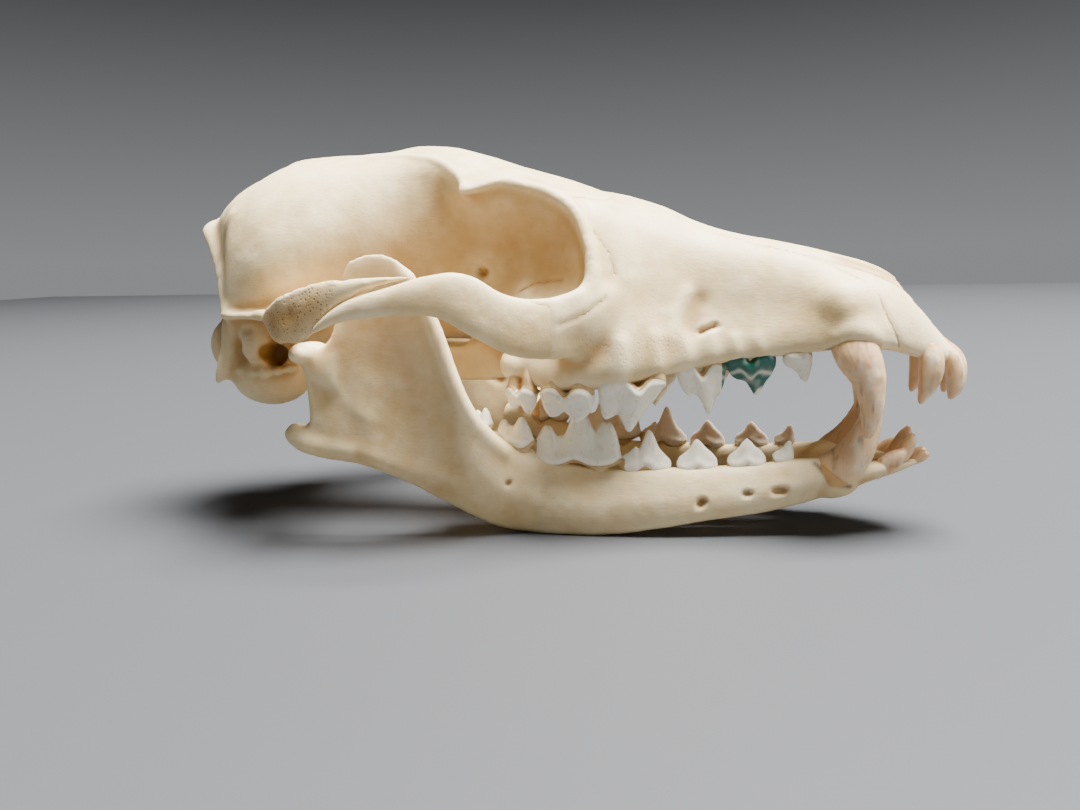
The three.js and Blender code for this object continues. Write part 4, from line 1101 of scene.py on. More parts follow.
    def build(self, placer: Placer, finish: bpy.types.Material) -> bpy.types.Object:
        """Make the finished piece.

        Args:
            placer: moves it into the part's frame.
            finish: the bone's material.

        Returns:
            The cranium.
        """
        obj = self.clay()
        remesh(obj, BONE_VOXEL, fillet=1.2, smooth=2)
        carve(obj, self.cutters())
        add_shells(obj, self.rims())
        remesh(obj, BONE_VOXEL, smooth=3)
        self.shape(obj)
        thin_out(obj)
        obj.data.materials.append(finish)
        nodes = ["occiput", "braincase", "frontal", "snout", "premaxilla", "bulla_right", "bulla_left"]
        placer.settle(obj, nodes)
        return obj


@dataclass
class CheekBone:
    """The jugal: from the face below the orbit back to the long splinter under the squamosal."""

    stem: tuple[Station, ...] = stations(
        (6.0, 25.0, 46.6, 2.0, 6.4), (1.5, 28.4, 46.0, 2.1, 6.2), (-3.0, 32.0, 46.8, 2.1, 5.9),
        (-7.5, 35.6, 49.2, 2.0, 5.2), (-12.6, 38.9, 52.7, 1.9, 5.2), (-17.0, 40.9, 53.5, 1.8, 4.2),
        (-22.0, 42.2, 53.0, 1.8, 3.4), (-28.0, 43.0, 52.1, 1.7, 2.6), (-33.5, 43.3, 51.0, 1.5, 2.0),
        (-38.0, 43.4, 49.2, 1.1, 1.2), (-42.4, 43.0, 46.6, 0.4, 0.4))
    tan: tuple[Patch, ...] = (Patch(((0.0, 30.0, 44.0),), 6.0, 0.25),)
    porous: tuple[Patch, ...] = (Patch(((4.0, 26.0, 45.0),), 4.0, 0.15),)
    relief: tuple[Relief, ...] = (Relief(0.10, 5.0, 11), Relief(0.04, 1.6, 12))

    def build(self, side: Side, placer: Placer, finish: bpy.types.Material) -> bpy.types.Object:
        """Make the finished piece on one side.

        Args:
            side: which side.
            placer: moves it into the part's frame.
            finish: the bone's material.

        Returns:
            The cheek bone.
        """
        clay = Clay()
        clay.bar(self.stem, side, power=0.85)
        obj = clay.object(f"cheek_bone_{side.name.lower()}")
        remesh(obj, CHEEK_VOXEL, fillet=0.8, smooth=3)
        surface = Surface(obj)
        surface.roughen(self.relief)
        surface.dress(self.tan, porous=self.porous)
        surface.store()
        obj.data.materials.append(finish)
        placer.settle(obj, [f"zygomatic_arch_{side.name.lower()}"])
        return obj


JAW_TABLE = np.array([
    # x, foot y, foot z, crest y, crest z, foot, middle and crest half thickness
    (-49.0, 32.0, 21.0, 33.6, 41.5, 1.5, 1.3, 1.6),
    (-44.5, 31.2, 18.6, 33.8, 43.6, 2.1, 1.3, 1.3),
    (-42.6, 30.8, 18.1, 34.0, 45.6, 2.2, 1.3, 1.2),
    (-41.4, 30.6, 17.8, 34.1, 50.0, 2.3, 1.3, 1.2),
    (-40.2, 30.3, 17.5, 34.2, 55.5, 2.4, 1.3, 1.1),
    (-38.6, 30.0, 17.0, 34.2, 59.6, 2.4, 1.3, 1.1),
    (-36.0, 29.4, 16.2, 34.0, 61.5, 2.5, 1.4, 1.1),
    (-32.0, 27.6, 14.0, 33.7, 62.3, 2.6, 1.5, 1.2),
    (-28.0, 25.8, 11.6, 33.2, 61.2, 2.7, 1.6, 1.3),
    (-24.7, 24.4, 9.4, 32.4, 57.8, 2.8, 1.8, 1.5),
    (-22.2, 23.3, 7.8, 31.4, 53.0, 2.9, 2.0, 1.7),
    (-20.2, 22.5, 6.5, 30.4, 47.8, 2.9, 2.2, 1.9),
    (-18.3, 21.7, 5.3, 29.2, 41.0, 3.0, 2.5, 2.1),
    (-16.0, 20.6, 3.8, 27.4, 32.5, 3.0, 2.9, 2.4),
    (-12.5, 18.8, 1.9, 23.4, 24.6, 3.0, 3.4, 2.7),
    (-8.0, 17.6, 0.8, 18.6, 19.6, 3.0, 3.6, 3.0),
    (-2.0, 17.0, 0.1, 16.8, 17.0, 3.0, 3.6, 2.9),
    (6.0, 16.8, 0.0, 15.8, 15.6, 3.0, 3.6, 2.9),
    (14.0, 16.2, 0.7, 15.2, 14.9, 3.0, 3.5, 2.8),
    (23.0, 15.2, 2.1, 14.2, 15.2, 2.9, 3.3, 2.7),
    (32.0, 13.7, 3.7, 12.6, 15.3, 2.8, 3.1, 2.6),
    (41.0, 11.8, 5.0, 10.8, 15.8, 2.8, 3.1, 2.5),
    (50.0, 9.4, 6.7, 9.4, 16.8, 2.9, 3.4, 2.6),
    (56.0, 7.6, 8.4, 8.8, 17.2, 3.2, 4.2, 3.2),
    (62.0, 5.8, 10.3, 8.0, 16.8, 3.2, 4.6, 3.6),
    (68.0, 3.6, 12.3, 6.2, 16.4, 2.8, 3.8, 3.0),
    (73.0, 2.7, 14.0, 4.0, 16.4, 1.9, 2.6, 2.2),
    (76.0, 2.2, 15.4, 2.6, 16.6, 1.0, 1.5, 1.0),
])


@dataclass
class Jaw:
    """One half of the lower jaw, with its coronoid, condyle and angular processes."""

    step: float = 1.0
    sides: int = 40
    condyle: tuple[Station, ...] = stations(
        (-47.4, 26.8, 40.8, 1.4, 1.4), (-47.8, 29.5, 41.4, 2.2, 2.4), (-48.0, 34.0, 41.8, 2.4, 2.5),
        (-48.2, 38.0, 41.9, 2.1, 2.2), (-48.2, 40.2, 41.7, 1.0, 1.2))
    neck: tuple[Station, ...] = stations(
        (-42.0, 33.4, 38.4, 1.5, 5.2), (-45.2, 33.6, 38.6, 1.9, 4.6), (-48.0, 33.8, 39.8, 2.6, 2.8))
    angle: tuple[Station, ...] = stations(
        (-40.0, 30.6, 21.4, 1.9, 3.8), (-45.5, 31.4, 22.4, 2.0, 4.0), (-50.4, 32.2, 23.0, 1.9, 3.2),
        (-53.2, 32.6, 24.2, 1.5, 2.7), (-54.8, 32.8, 25.4, 0.8, 1.6))
    shelf: tuple[Station, ...] = stations(
        (-21.0, 22.0, 19.0, 3.4, 4.0), (-16.0, 19.2, 20.2, 3.0, 3.8), (-8.0, 16.6, 16.6, 3.0, 3.6),
        (2.0, 16.0, 13.0, 3.0, 3.0))
    symphysis: tuple[Station, ...] = stations(
        (50.0, 5.6, 11.0, 3.4, 2.6), (57.0, 3.2, 12.0, 3.2, 3.2), (66.0, 2.4, 13.8, 2.3, 2.4),
        (74.0, 1.6, 15.4, 1.4, 1.0))
    canine_bulge: Mass = Mass((58.0, 8.2, 13.2), (6.2, 4.0, 4.8), 0.1)
    ridges: tuple[Mark, ...] = (
        Mark(((-25.0, 34.0, 57.0), (-20.4, 32.6, 47.0), (-17.2, 31.0, 36.0), (-13.4, 27.4, 27.0),
              (-8.0, 23.0, 20.0)), 1.7, 0.8),
        Mark(((-50.0, 34.0, 22.0), (-38.0, 33.0, 19.6), (-28.0, 30.0, 15.4), (-20.0, 27.0, 13.0)), 2.4, 0.5),
        Mark(((-47.0, 36.0, 38.0), (-42.0, 35.4, 33.0), (-36.0, 35.0, 28.0)), 2.2, 0.3),
    )
    dips: tuple[Mark, ...] = (
        Mark(((-32.0, 35.6, 46.0), (-29.0, 34.6, 36.0), (-26.0, 32.6, 28.0)), 8.0, -0.9),
        Mark(((-44.0, 35.6, 34.0),), 4.0, -0.5),
    )
    pits: tuple[Mark, ...] = (
        Mark(((31.6, 16.8, 8.2), (32.4, 16.8, 8.4)), 0.65, -1.6),
        Mark(((40.8, 14.8, 10.1), (41.6, 14.8, 10.3)), 0.55, -1.3),
        Mark(((46.6, 12.6, 10.7), (48.6, 12.4, 10.9)), 0.6, -1.4),
        Mark(((-9.2, 21.4, 12.2),), 0.45, -1.2),
        Mark(((-28.0, 24.6, 30.0), (-26.0, 23.6, 29.0)), 1.4, -1.4),
    )
    # The ramus's hollow, as painted shade; the condyle's neck, the lower border, the sockets and the chin,
    # as tan
    tan: tuple[Patch, ...] = (
        Patch(((-34.0, 35.0, 38.0), (-28.0, 33.0, 28.0)), 9.0, 0.15),
        Patch(((-46.0, 35.0, 40.0), (-42.0, 35.0, 43.0)), 4.0, 0.3),
        Patch(((-40.0, 33.0, 20.0), (-24.0, 27.0, 12.0)), 4.0, 0.35),
        Patch(((57.0, 10.5, 15.0), (60.0, 10.0, 12.0), (65.0, 8.0, 14.0)), 2.0, 0.6),
        Patch(((-12.0, 21.0, 21.0),), 3.0, 0.6),
        Patch(((0.0, 19.0, 16.0), (12.0, 17.0, 14.6)), 2.2, 0.4),
        Patch(((12.0, 17.0, 14.6), (48.0, 12.0, 16.0)), 1.8, 0.25),
        Patch(((70.0, 4.0, 15.0),), 5.0, 0.45),
    )
    # Painted shade round the canine's socket, in the four small holes and in the crease above the condyle
    shade_patches: tuple[Patch, ...] = (
        Patch(((54.8, 11.0, 16.6), (57.1, 11.2, 14.2), (58.7, 11.0, 13.0), (61.3, 10.6, 12.1)),
              0.55, 0.8, True),
        Patch(((32.0, 16.4, 8.3),), 0.7, 0.9, True),
        Patch(((41.1, 14.4, 10.2),), 0.7, 0.9, True),
        Patch(((47.5, 12.2, 10.7),), 0.7, 0.9, True),
        Patch(((-9.2, 20.9, 12.2),), 0.5, 1.0, True),
        Patch(((-47.0, 38.0, 44.0), (-43.0, 36.0, 43.6)), 0.8, 0.7),
    )
    porous: tuple[Patch, ...] = (
        Patch(((-50.0, 33.0, 22.0),), 5.0, 0.2),
        Patch(((30.0, 14.0, 14.0), (66.0, 6.0, 14.0)), 3.0, 0.2),
    )
    relief: tuple[Relief, ...] = (Relief(0.10, 5.0, 21), Relief(0.04, 1.8, 22))
    midline_gap: float = 0.12   # how far each half stays from the plane between them
    squareness: float = 0.6     # below 1, a section is flatter than an ellipse

    def ring(self, x: float) -> np.ndarray:
        """One section: a tall rounded plate from its foot to its crest, which leans outwards."""
        _x, foot_y, foot_z, crest_y, crest_z, foot, mid, crest = blend_rows(JAW_TABLE, x)
        angle = np.linspace(0, 2 * math.pi, self.sides, endpoint=False)
        height = (1 + np.sin(angle)) / 2
        half = np.interp(height, (0.0, 0.5, 1.0), (foot, mid, crest))
        bulge = np.sign(np.cos(angle)) * np.abs(np.cos(angle)) ** self.squareness
        y = foot_y + (crest_y - foot_y) * height + bulge * half
        z = foot_z + (crest_z - foot_z) * height
        return np.column_stack([np.full(self.sides, x), y, z])

    def build(self, side: Side, placer: Placer, finish: bpy.types.Material) -> bpy.types.Object:
        """Make the finished piece on one side.

        Args:
            side: which side.
            placer: moves it into the part's frame.
            finish: the bone's material.

        Returns:
            The jaw half.
        """
        clay = Clay()
        places = [*np.arange(JAW_TABLE[0, 0], JAW_TABLE[-1, 0], self.step), JAW_TABLE[-1, 0]]
        rings = np.array([self.ring(x) for x in places])
        rings[:, :, 1] *= side.value
        clay.loft(rings)
        clay.bar(self.condyle, side, up=FORWARD)
        for row in (self.neck, self.angle, self.shelf, self.symphysis):
            clay.bar(row, side)
        clay.lump(self.canine_bulge, side)
        obj = clay.object(f"jaw_{side.name.lower()}")
        remesh(obj, JAW_VOXEL, fillet=0.9, smooth=3)
        surface = Surface(obj)
        surface.draw(self.dips)
        surface.draw(self.ridges)
        surface.draw(self.pits)
        surface.roughen(self.relief)
        surface.co[:, 2] = np.maximum(surface.co[:, 2], JAW_REST)
        surface.co[:, 1] = side.value * np.maximum(side.value * surface.co[:, 1], self.midline_gap)
        surface.dress(self.tan, self.shade_patches, self.porous)
        surface.store()
        thin_out(obj)
        obj.data.materials.append(finish)
        placer.settle(obj, [f"mandible_{side.name.lower()}"])
        return obj


@dataclass(frozen=True)
class CheekTooth:
    """A premolar or molar: neck, size, turn in the row, and its edge as shares of length and height."""

    name: str
    at: tuple[float, float, float]
    long: float
    wide: float
    high: float
    turn: float
    edge: tuple[tuple[float, float], ...]
    roots: tuple[float, ...] = (0.25, 0.75)
    lobe: Mass | None = None


# Crown edges from front to back, as shares of the crown's length and height
HOOKED = ((0, 0.36), (0.08, 0.76), (0.18, 1.0), (0.32, 0.95), (0.5, 0.68), (0.7, 0.5), (0.86, 0.42),
          (1, 0.2))
SECOND = ((0, 0.2), (0.06, 0.4), (0.2, 0.66), (0.33, 0.96), (0.4, 1.0), (0.5, 0.82), (0.6, 0.63),
          (0.68, 0.6), (0.76, 0.58), (0.88, 0.46), (1, 0.18))
THIRD = ((0, 0.22), (0.06, 0.44), (0.2, 0.66), (0.31, 0.95), (0.37, 1.0), (0.46, 0.8), (0.56, 0.6),
         (0.66, 0.56), (0.74, 0.59), (0.85, 0.5), (0.94, 0.34), (1, 0.16))
SHEAR = ((0, 0.08), (0.05, 0.18), (0.14, 0.34), (0.25, 0.5), (0.36, 0.69), (0.46, 0.88), (0.54, 1.0),
         (0.59, 0.97), (0.67, 0.74), (0.72, 0.64), (0.8, 0.7), (0.9, 0.74), (0.96, 0.62), (1, 0.24))
TWIN = ((0, 0.26), (0.06, 0.6), (0.2, 0.88), (0.34, 1.0), (0.47, 0.76), (0.56, 0.68), (0.68, 0.82),
        (0.8, 0.86), (0.92, 0.64), (1, 0.24))
LOW = ((0, 0.3), (0.1, 0.5), (0.26, 0.68), (0.4, 0.9), (0.5, 1.0), (0.58, 0.92), (0.72, 0.64),
       (0.84, 0.5), (0.94, 0.4), (1, 0.2))
CUSPED = ((0, 0.2), (0.1, 0.34), (0.24, 0.56), (0.36, 0.92), (0.43, 1.0), (0.54, 0.72), (0.62, 0.5),
          (0.68, 0.57), (0.74, 0.5), (0.83, 0.4), (0.9, 0.36), (1, 0.16))
BLADE = ((0, 0.16), (0.05, 0.5), (0.12, 0.66), (0.2, 0.66), (0.27, 0.52), (0.35, 0.72), (0.43, 0.99),
         (0.48, 1.0), (0.56, 0.66), (0.62, 0.44), (0.7, 0.42), (0.77, 0.58), (0.83, 0.6), (0.9, 0.46),
         (1, 0.16))
GRINDER = ((0, 0.24), (0.1, 0.6), (0.24, 0.92), (0.32, 0.9), (0.46, 0.62), (0.56, 0.6), (0.68, 0.8),
           (0.76, 0.78), (0.88, 0.5), (1, 0.2))


@dataclass
class ToothRow:
    """All teeth of one side of one jaw as one piece of enamel and root."""

    upper: bool
    cheek: tuple[CheekTooth, ...]
    canine: tuple[Station, ...]
    incisors: tuple[tuple[Station, ...], ...]
    socket: tuple[float, float, float, float]
    incisor_neck: float
    # More tan on the left side's teeth, as painted shade deep in the mouth
    far_side_shade: float = 0.15
    dip: float = 0.9                                  # how deep the crown's edge reaches over a root, in mm
    ends: float = 1.5                                 # how far it rises again at both ends, in mm
    fork_arch: float = 0.28                           # its rise between two roots as a share of the height
    front_neck: tuple[float, float] = (0.5, 4.0)      # a front tooth's neck line: place and fade in mm
    cheek_neck: tuple[float, float] = (0.2, 3.0)      # a cheek tooth's neck line: place and fade in mm
    spread: float = 0.03                              # how far a tooth's size strays on each side
    relief: tuple[Relief, ...] = (Relief(0.05, 1.6, 31), Relief(0.02, 0.6, 32))

    def base_level(self, tooth: CheekTooth, share: float | np.ndarray) -> float | np.ndarray:
        """Height of the crown's lower edge: it dips over each root and arches up between two roots.

        Args:
            tooth: the tooth.
            share: place along the crown, 0 at its front end.

        Returns:
            The height above the neck in mm.
        """
        level = -self.dip + self.ends * abs(2 * share - 1) ** 6
        if len(tooth.roots) > 1:
            fork = sum(tooth.roots) / len(tooth.roots)
            arch = self.fork_arch * min(tooth.high, 9.0)
            level += arch * np.exp(-(((share - fork) / 0.13) ** 2))
        return level

    def crown(self, clay: Clay, tooth: CheekTooth, side: Side, vary: float) -> None:
        """Add a cheek tooth's crown and roots, made upright and then turned into its row.

        Args:
            clay: where it goes.
            tooth: its sizes.
            side: the side of the skull.
            vary: this tooth's size against its fellow's.
        """
        edge = np.array(tooth.edge)
        shares = np.linspace(0, 1, 45)
        rings = []
        flip = -1.0 if self.upper else 1.0
        for share in shares:
            lift = blend_rows(edge, share)[1]
            middle = 2 * share - 1
            half = tooth.wide / 2 * math.sqrt(max(1 - 0.92 * abs(middle) ** 3.2, 0.03))
            base = self.base_level(tooth, share)
            top = max(tooth.high * lift * vary, base + 1.1)
            belt = base + min(1.5, 0.35 * (top - base))
            upper_belt = belt + 0.28 * (top - belt)
            shoulder = top - 0.16 * (top - belt)
            profile = np.array([(0.0, top), (-half * 0.34, shoulder), (-half * 0.7, upper_belt),
                                (-half, belt), (-half * 0.86, base + 0.2), (-half * 0.5, base - 0.5),
                                (half * 0.5, base - 0.5), (half * 0.86, base + 0.2), (half, belt),
                                (half * 0.7, upper_belt), (half * 0.34, shoulder)])
            ring = smooth_path(profile, 3, closed=True)
            x = np.full(len(ring), (0.5 - share) * tooth.long * vary)
            rings.append(np.column_stack([x, ring[:, 0] * flip, ring[:, 1] * flip]))
        turn = Matrix.Rotation(-tooth.turn, 3, "Z")
        placed = np.array(rings) @ np.array(turn).T + np.array(tooth.at)
        placed[:, :, 1] *= side.value
        clay.loft(placed)
        for share in tooth.roots:
            foot = turn @ Vector(((0.5 - share) * tooth.long * 0.9, 0, 0)) + Vector(tooth.at)
            along = min(tooth.long * 0.2, 2.1) if len(tooth.roots) > 1 else tooth.long * 0.34
            deep = tooth.wide * 0.4
            rows = ((1.0, 0.95, 1.0), (-0.6, 1.0, 0.95), (-2.6, 0.82, 0.85), (-5.0, 0.5, 0.55))
            clay.bar([Station(foot.x, foot.y, foot.z + flip * z, along * a, deep * d) for z, a, d in rows],
                     side, up=OUTWARD, sides=16, steps=4)
        if tooth.lobe:
            clay.lump(tooth.lobe, side, 24, 16)

    def build(self, name: str, side: Side, placer: Placer, finish: bpy.types.Material,
              nodes: Sequence[str], slot: str) -> bpy.types.Object:
        """Make the finished row on one side.

        Args:
            name: the piece's name without its side.
            side: which side.
            placer: moves it into the part's frame.
            finish: the enamel.
            nodes: the nodes whose teeth these are.
            slot: the record's material slot; not used.

        Returns:
            The row of teeth.
        """
        clay = Clay()
        for i, tooth in enumerate(self.cheek):
            # The sine gives an uneven but fixed order of larger and smaller teeth
            self.crown(clay, tooth, side, 1 + side.value * self.spread * math.sin(2.4 * i + 1))
        clay.bar(self.canine, side, up=OUTWARD, sides=24, steps=8)
        for row in self.incisors:
            clay.bar(row, side, up=OUTWARD, sides=18, steps=8)
        obj = clay.object(f"{name}_{side.name.lower()}")
        remesh(obj, TOOTH_VOXEL, smooth=4)
        surface = Surface(obj)
        surface.roughen(self.relief)
        self.colour_masks(surface, side)
        surface.store()
        obj.data.materials.append(finish)
        placer.settle(obj, nodes)
        return obj

    def green_stain(self, surface: Surface, over: np.ndarray, share: np.ndarray) -> np.ndarray:
        """Strength of green staining that leaves the crown's tip bare and has a pale wavy band.

        Args:
            surface: the row's surface in mm.
            over: height above the crown's lower edge in mm.
            share: place along the crown, 0 at its front end.

        Returns:
            The strength at each point.
        """
        tip = np.clip((over - 6.6) / 0.8, 0, 1)
        band = 0.6 * np.exp(-(((over - 3.4 - 0.5 * np.sin(9 * share)) / 0.45) ** 2))
        return np.clip(1.0 + 0.3 * value_noise(surface.co, 1.3, 43) - tip - band, 0, 1)

    def colour_masks(self, surface: Surface, side: Side) -> None:
        """Store how far up its crown each point is, the tan and green stains, and painted shade in hollows,
        in creases and on the left side's teeth.

        Args:
            surface: the row's surface in mm.
            side: which side.
        """
        x, z = surface.co[:, 0], surface.co[:, 2]
        away = -1.0 if self.upper else 1.0
        x_zero, z_zero, slope, bow = self.socket
        rim = z_zero + slope * (x - x_zero) + bow * (x - x_zero) ** 2
        above = away * (z - np.where(x < INCISORS, rim, self.incisor_neck))
        neck, fade = self.front_neck
        height = NECK + (above - neck) / fade
        front = np.clip(x - CANINES, 0, 1)
        neck, fade = self.cheek_neck
        green = np.zeros(len(x))
        for tooth in self.cheek:
            offset = surface.folded - np.array(tooth.at)
            along = offset[:, 0] * math.cos(tooth.turn) - offset[:, 1] * math.sin(tooth.turn)
            share = 0.5 - along / tooth.long
            mine = np.abs(share - 0.5) < 0.56
            over = away * offset[:, 2] - self.base_level(tooth, np.clip(share, 0, 1))
            height[mine] = (NECK + (over - neck) / fade)[mine]
            if self.upper and side is Side.RIGHT and tooth.name == "p2":
                green = mine * self.green_stain(surface, over, share)
        surface.paint("height", height)
        hollow = np.clip(surface.hollowness(12) / 0.25, -1, 1)
        streaks = value_noise(surface.co * np.array([1.0, 1.0, 0.35]), 1.5, 47)
        band = np.exp(-((above / 2.6) ** 2))
        tan = front * (0.75 + 0.4 * streaks + 0.4 * band * (x < INCISORS))
        # Painted shade: more tan on the left side's teeth, which sit deep in the mouth
        tan += self.far_side_shade * (side is Side.LEFT)
        tan += 0.1 * value_noise(surface.co, 2.6, 41)
        # Painted shade: more tan in hollows
        tan += 0.3 * np.clip(hollow, 0, 1) - 0.06 * (1 - front)
        surface.paint("tan", tan)
        surface.paint("green", green)
        fine = np.clip(surface.hollowness(4) / 0.06, 0, 1)
        cracks = value_noise(surface.co * np.array([1.0, 1.0, 0.25]), 0.8, 49)
        specks = 0.3 * np.clip(value_noise(surface.co, 0.9, 45) - 0.3, 0, 1)
        lines = 0.8 * front * np.clip(cracks - 0.35, 0, 0.6)
        # Specks and cracks, with painted shade in the fine creases
        surface.paint("dirt", specks + 0.3 * fine * hollow + lines)


UPPER_ROW = ToothRow(
    upper=True,
    socket=(62.8, 43.3, 0.0, -0.062),
    incisor_neck=41.5,
    cheek=(
        CheekTooth("p1", (50.9, 10.8, 39.2), 6.1, 3.5, 5.8, 0.03, HOOKED, (0.5,)),
        CheekTooth("p2", (41.4, 11.4, 38.7), 10.4, 3.2, 8.0, 0.1, SECOND),
        CheekTooth("p3", (31.4, 13.0, 36.8), 10.2, 3.4, 10.2, 0.28, THIRD),
        CheekTooth("p4", (17.8, 19.2, 34.6), 14.6, 4.8, 11.2, 0.3, SHEAR, (0.12, 0.72),
                   Mass((19.6, 16.2, 34.6), (2.4, 2.2, 3.2))),
        CheekTooth("m1", (4.3, 20.8, 32.7), 11.6, 5.2, 6.8, -0.1, TWIN, (0.22, 0.76),
                   Mass((1.6, 16.4, 32.4), (4.0, 5.4, 3.4))),
        CheekTooth("m2", (-6.1, 18.8, 32.4), 7.6, 5.0, 5.2, -0.3, TWIN, (0.24, 0.76),
                   Mass((-6.5, 15.4, 33.2), (2.8, 4.0, 3.0))),
    ),
    canine=stations((57.6, 8.2, 50.0, 2.6, 2.0), (60.2, 10.4, 45.0, 3.9, 2.8), (62.4, 13.1, 39.8, 4.5, 3.3),
                    (64.4, 13.8, 35.6, 3.65, 2.9), (65.3, 14.0, 31.2, 2.7, 2.3),
                    (65.4, 14.0, 27.6, 2.1, 1.8), (65.1, 13.9, 24.6, 1.5, 1.4),
                    (64.8, 13.8, 22.6, 0.6, 0.6)),
    incisors=(
        stations((78.6, 1.8, 42.0, 1.0, 1.0), (82.4, 2.0, 38.0, 1.6, 1.5), (83.3, 2.0, 34.4, 1.5, 1.5),
                 (83.1, 2.0, 31.4, 1.0, 1.3), (82.7, 2.0, 30.0, 0.4, 0.8)),
        stations((76.4, 4.0, 42.0, 1.1, 1.1), (80.9, 5.0, 38.2, 1.8, 1.7), (81.9, 5.1, 35.0, 1.9, 1.8),
                 (81.8, 5.2, 31.8, 1.4, 1.4), (81.3, 5.2, 29.6, 0.5, 0.8)),
        stations((73.2, 5.8, 43.0, 1.5, 1.4), (76.5, 8.0, 39.4, 2.4, 2.0), (77.0, 8.5, 36.0, 2.5, 2.1),
                 (76.4, 8.6, 32.6, 1.9, 1.6), (75.6, 8.6, 30.4, 1.1, 1.0), (75.1, 8.6, 29.0, 0.4, 0.4)),
    ),
)
LOWER_ROW = ToothRow(
    upper=False,
    socket=(54.8, 16.9, -0.74, 0.0),
    incisor_neck=15.4,
    # Painted shade on the left side's lower teeth
    far_side_shade=0.4,
    fork_arch=0.15,
    cheek=(
        CheekTooth("p1", (48.3, 9.4, 16.8), 4.6, 2.4, 4.2, 0.2, HOOKED, (0.5,)),
        CheekTooth("p2", (40.8, 10.8, 15.6), 8.2, 2.6, 5.8, 0.2, LOW),
        CheekTooth("p3", (30.5, 12.6, 14.9), 8.6, 2.8, 6.4, 0.22, LOW),
        CheekTooth("p4", (19.7, 14.4, 15.0), 11.4, 3.4, 8.8, 0.16, CUSPED),
        CheekTooth("m1", (4.7, 15.6, 16.4), 19.2, 5.4, 12.8, 0.06, BLADE, (0.2, 0.8)),
        CheekTooth("m2", (-9.0, 16.8, 20.2), 9.6, 5.4, 6.6, -0.16, GRINDER),
        CheekTooth("m3", (-15.3, 18.6, 24.0), 4.6, 4.0, 4.4, -0.3, TWIN, (0.5,)),
    ),
    canine=stations((54.8, 8.4, 12.2, 2.6, 2.4), (58.6, 9.3, 14.2, 4.3, 3.3), (62.8, 9.5, 18.8, 3.7, 2.9),
                    (65.2, 9.5, 24.2, 2.6, 2.2), (65.9, 9.5, 29.0, 2.1, 1.8), (66.1, 9.7, 33.4, 1.5, 1.3),
                    (66.1, 9.8, 37.0, 0.5, 0.4)),
    incisors=(
        stations((71.5, 1.9, 14.4, 1.1, 1.2), (75.2, 1.8, 16.2, 1.3, 1.4), (77.2, 1.8, 17.2, 1.1, 1.4),
                 (78.0, 1.8, 17.7, 0.5, 1.0)),
        stations((69.5, 4.3, 14.4, 1.2, 1.3), (72.4, 4.4, 17.6, 1.7, 1.6), (73.9, 4.5, 20.2, 1.4, 1.6),
                 (74.6, 4.5, 22.0, 0.5, 1.0)),
        stations((66.6, 6.0, 13.4, 1.5, 1.4), (69.6, 6.4, 16.0, 2.0, 1.7), (71.6, 6.6, 17.7, 1.6, 1.6),
                 (72.8, 6.6, 18.8, 0.6, 1.0)),
    ),
)


@dataclass(frozen=True)
class Lamp:
    """A soft square lamp: its place and width in m, and its power in W."""

    name: str
    place: tuple[float, float, float]
    width: float
    power: float


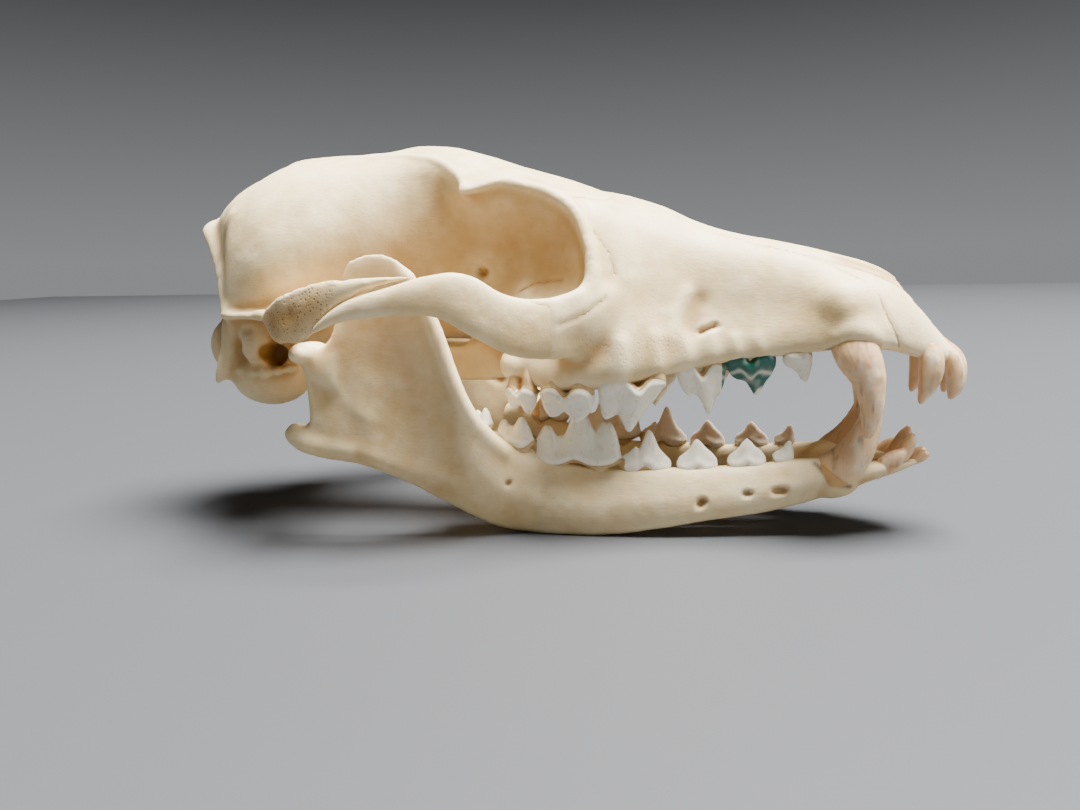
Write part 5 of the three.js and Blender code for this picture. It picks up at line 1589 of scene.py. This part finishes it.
@dataclass
class Studio:
    """A plain floor, soft light from above and the photo's camera."""

    camera_at: tuple[float, float, float] = (50.7, -214.8, 61.4)
    yaw: float = -15.1
    pitch: float = -9.05
    roll: float = -1.39
    focal_px: float = 960.4
    frame_px: float = 1080.0
    sensor_mm: float = 36.0
    floor_half: float = 1.3
    floor_colour: str = "#454648"
    floor_roughness: float = 0.6
    near_clip: float = 0.01
    horizon: str = "#CFD1D4"
    high: str = "#48494C"
    high_at: float = 0.3        # share of the way up at which the surrounding has its upper colour
    room_light: float = 0.42
    aim: tuple[float, float, float] = (0.0, 0.0, 0.04)
    lamps: tuple[Lamp, ...] = (Lamp("key", (0.5, 0.1, 1.9), 1.0, 330.0),
                               Lamp("fill", (1.2, -0.6, 0.5), 0.6, 4.0))

    def floor(self) -> None:
        """Lay the floor."""
        bm = bmesh.new()
        bmesh.ops.create_grid(bm, x_segments=1, y_segments=1, size=self.floor_half)
        mesh = bpy.data.meshes.new("floor")
        bm.to_mesh(mesh)
        bm.free()
        obj = bpy.data.objects.new("floor", mesh)
        bpy.context.scene.collection.objects.link(obj)
        material = bpy.data.materials.new("floor_paint")
        material.use_nodes = True
        shader = material.node_tree.nodes["Principled BSDF"]
        shader.inputs["Base Color"].default_value = colour(self.floor_colour)
        shader.inputs["Roughness"].default_value = self.floor_roughness
        mesh.materials.append(material)

    def lights(self) -> None:
        """Hang a wide soft light overhead and a weak one beyond the snout, in a dim surrounding."""
        for lamp in self.lamps:
            light = bpy.data.lights.new(lamp.name, "AREA")
            light.size = lamp.width
            light.energy = lamp.power
            obj = bpy.data.objects.new(lamp.name, light)
            obj.location = lamp.place
            obj.rotation_euler = (Vector(self.aim) - Vector(lamp.place)).to_track_quat("-Z", "Y").to_euler()
            bpy.context.scene.collection.objects.link(obj)
        world = bpy.data.worlds.new("soft_room")
        world.use_nodes = True
        tree = world.node_tree
        way = add_node(tree, "ShaderNodeTexCoord").outputs["Generated"]
        height = add_node(tree, "ShaderNodeSeparateXYZ", links={"Vector": way}).outputs["Z"]
        shade = ramp(tree, height, [(0.0, self.horizon), (self.high_at, self.high)])
        tree.links.new(shade, tree.nodes["Background"].inputs[0])
        tree.nodes["Background"].inputs[1].default_value = self.room_light
        bpy.context.scene.world = world

    def camera(self, placer: Placer) -> None:
        """Set the photo's camera.

        Args:
            placer: moves the camera's place into the part's frame.
        """
        yaw, pitch, roll = (math.radians(v) for v in (self.yaw, self.pitch, self.roll))
        ahead = Vector((math.sin(yaw) * math.cos(pitch), math.cos(yaw) * math.cos(pitch), math.sin(pitch)))
        level = Vector((math.cos(yaw), -math.sin(yaw), 0))
        lift = level.cross(ahead)
        right = level * math.cos(roll) + lift * math.sin(roll)
        up = lift * math.cos(roll) - level * math.sin(roll)
        lens = bpy.data.cameras.new("camera")
        lens.sensor_width = self.sensor_mm
        lens.lens = self.sensor_mm * self.focal_px / self.frame_px
        lens.clip_start = self.near_clip
        obj = bpy.data.objects.new("camera", lens)
        turn = Matrix((right, up, -ahead)).transposed().to_4x4()
        obj.matrix_world = Matrix.Translation(placer.matrix() @ Vector(self.camera_at)) @ turn
        bpy.context.scene.collection.objects.link(obj)
        bpy.context.scene.camera = obj


def main() -> None:
    """Build every piece, dress it and light it."""
    logging.basicConfig(level=logging.INFO, format="%(message)s")
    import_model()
    placer = Placer()
    bone = BoneFinish("bleached_bone").make()
    enamel = EnamelFinish().make()
    Cranium().build(placer, bone)
    for side in Side:
        CheekBone().build(side, placer, bone)
        Jaw().build(side, placer, bone)
        UPPER_ROW.build("teeth_upper", side, placer, enamel, ["frontal", "snout", "premaxilla"],
                        "cranium_bone")
        LOWER_ROW.build("teeth_lower", side, placer, enamel, [f"mandible_{side.name.lower()}"], "jaw_bone")
    studio = Studio()
    studio.floor()
    studio.lights()
    studio.camera(placer)


if __name__ == "__main__":
    main()
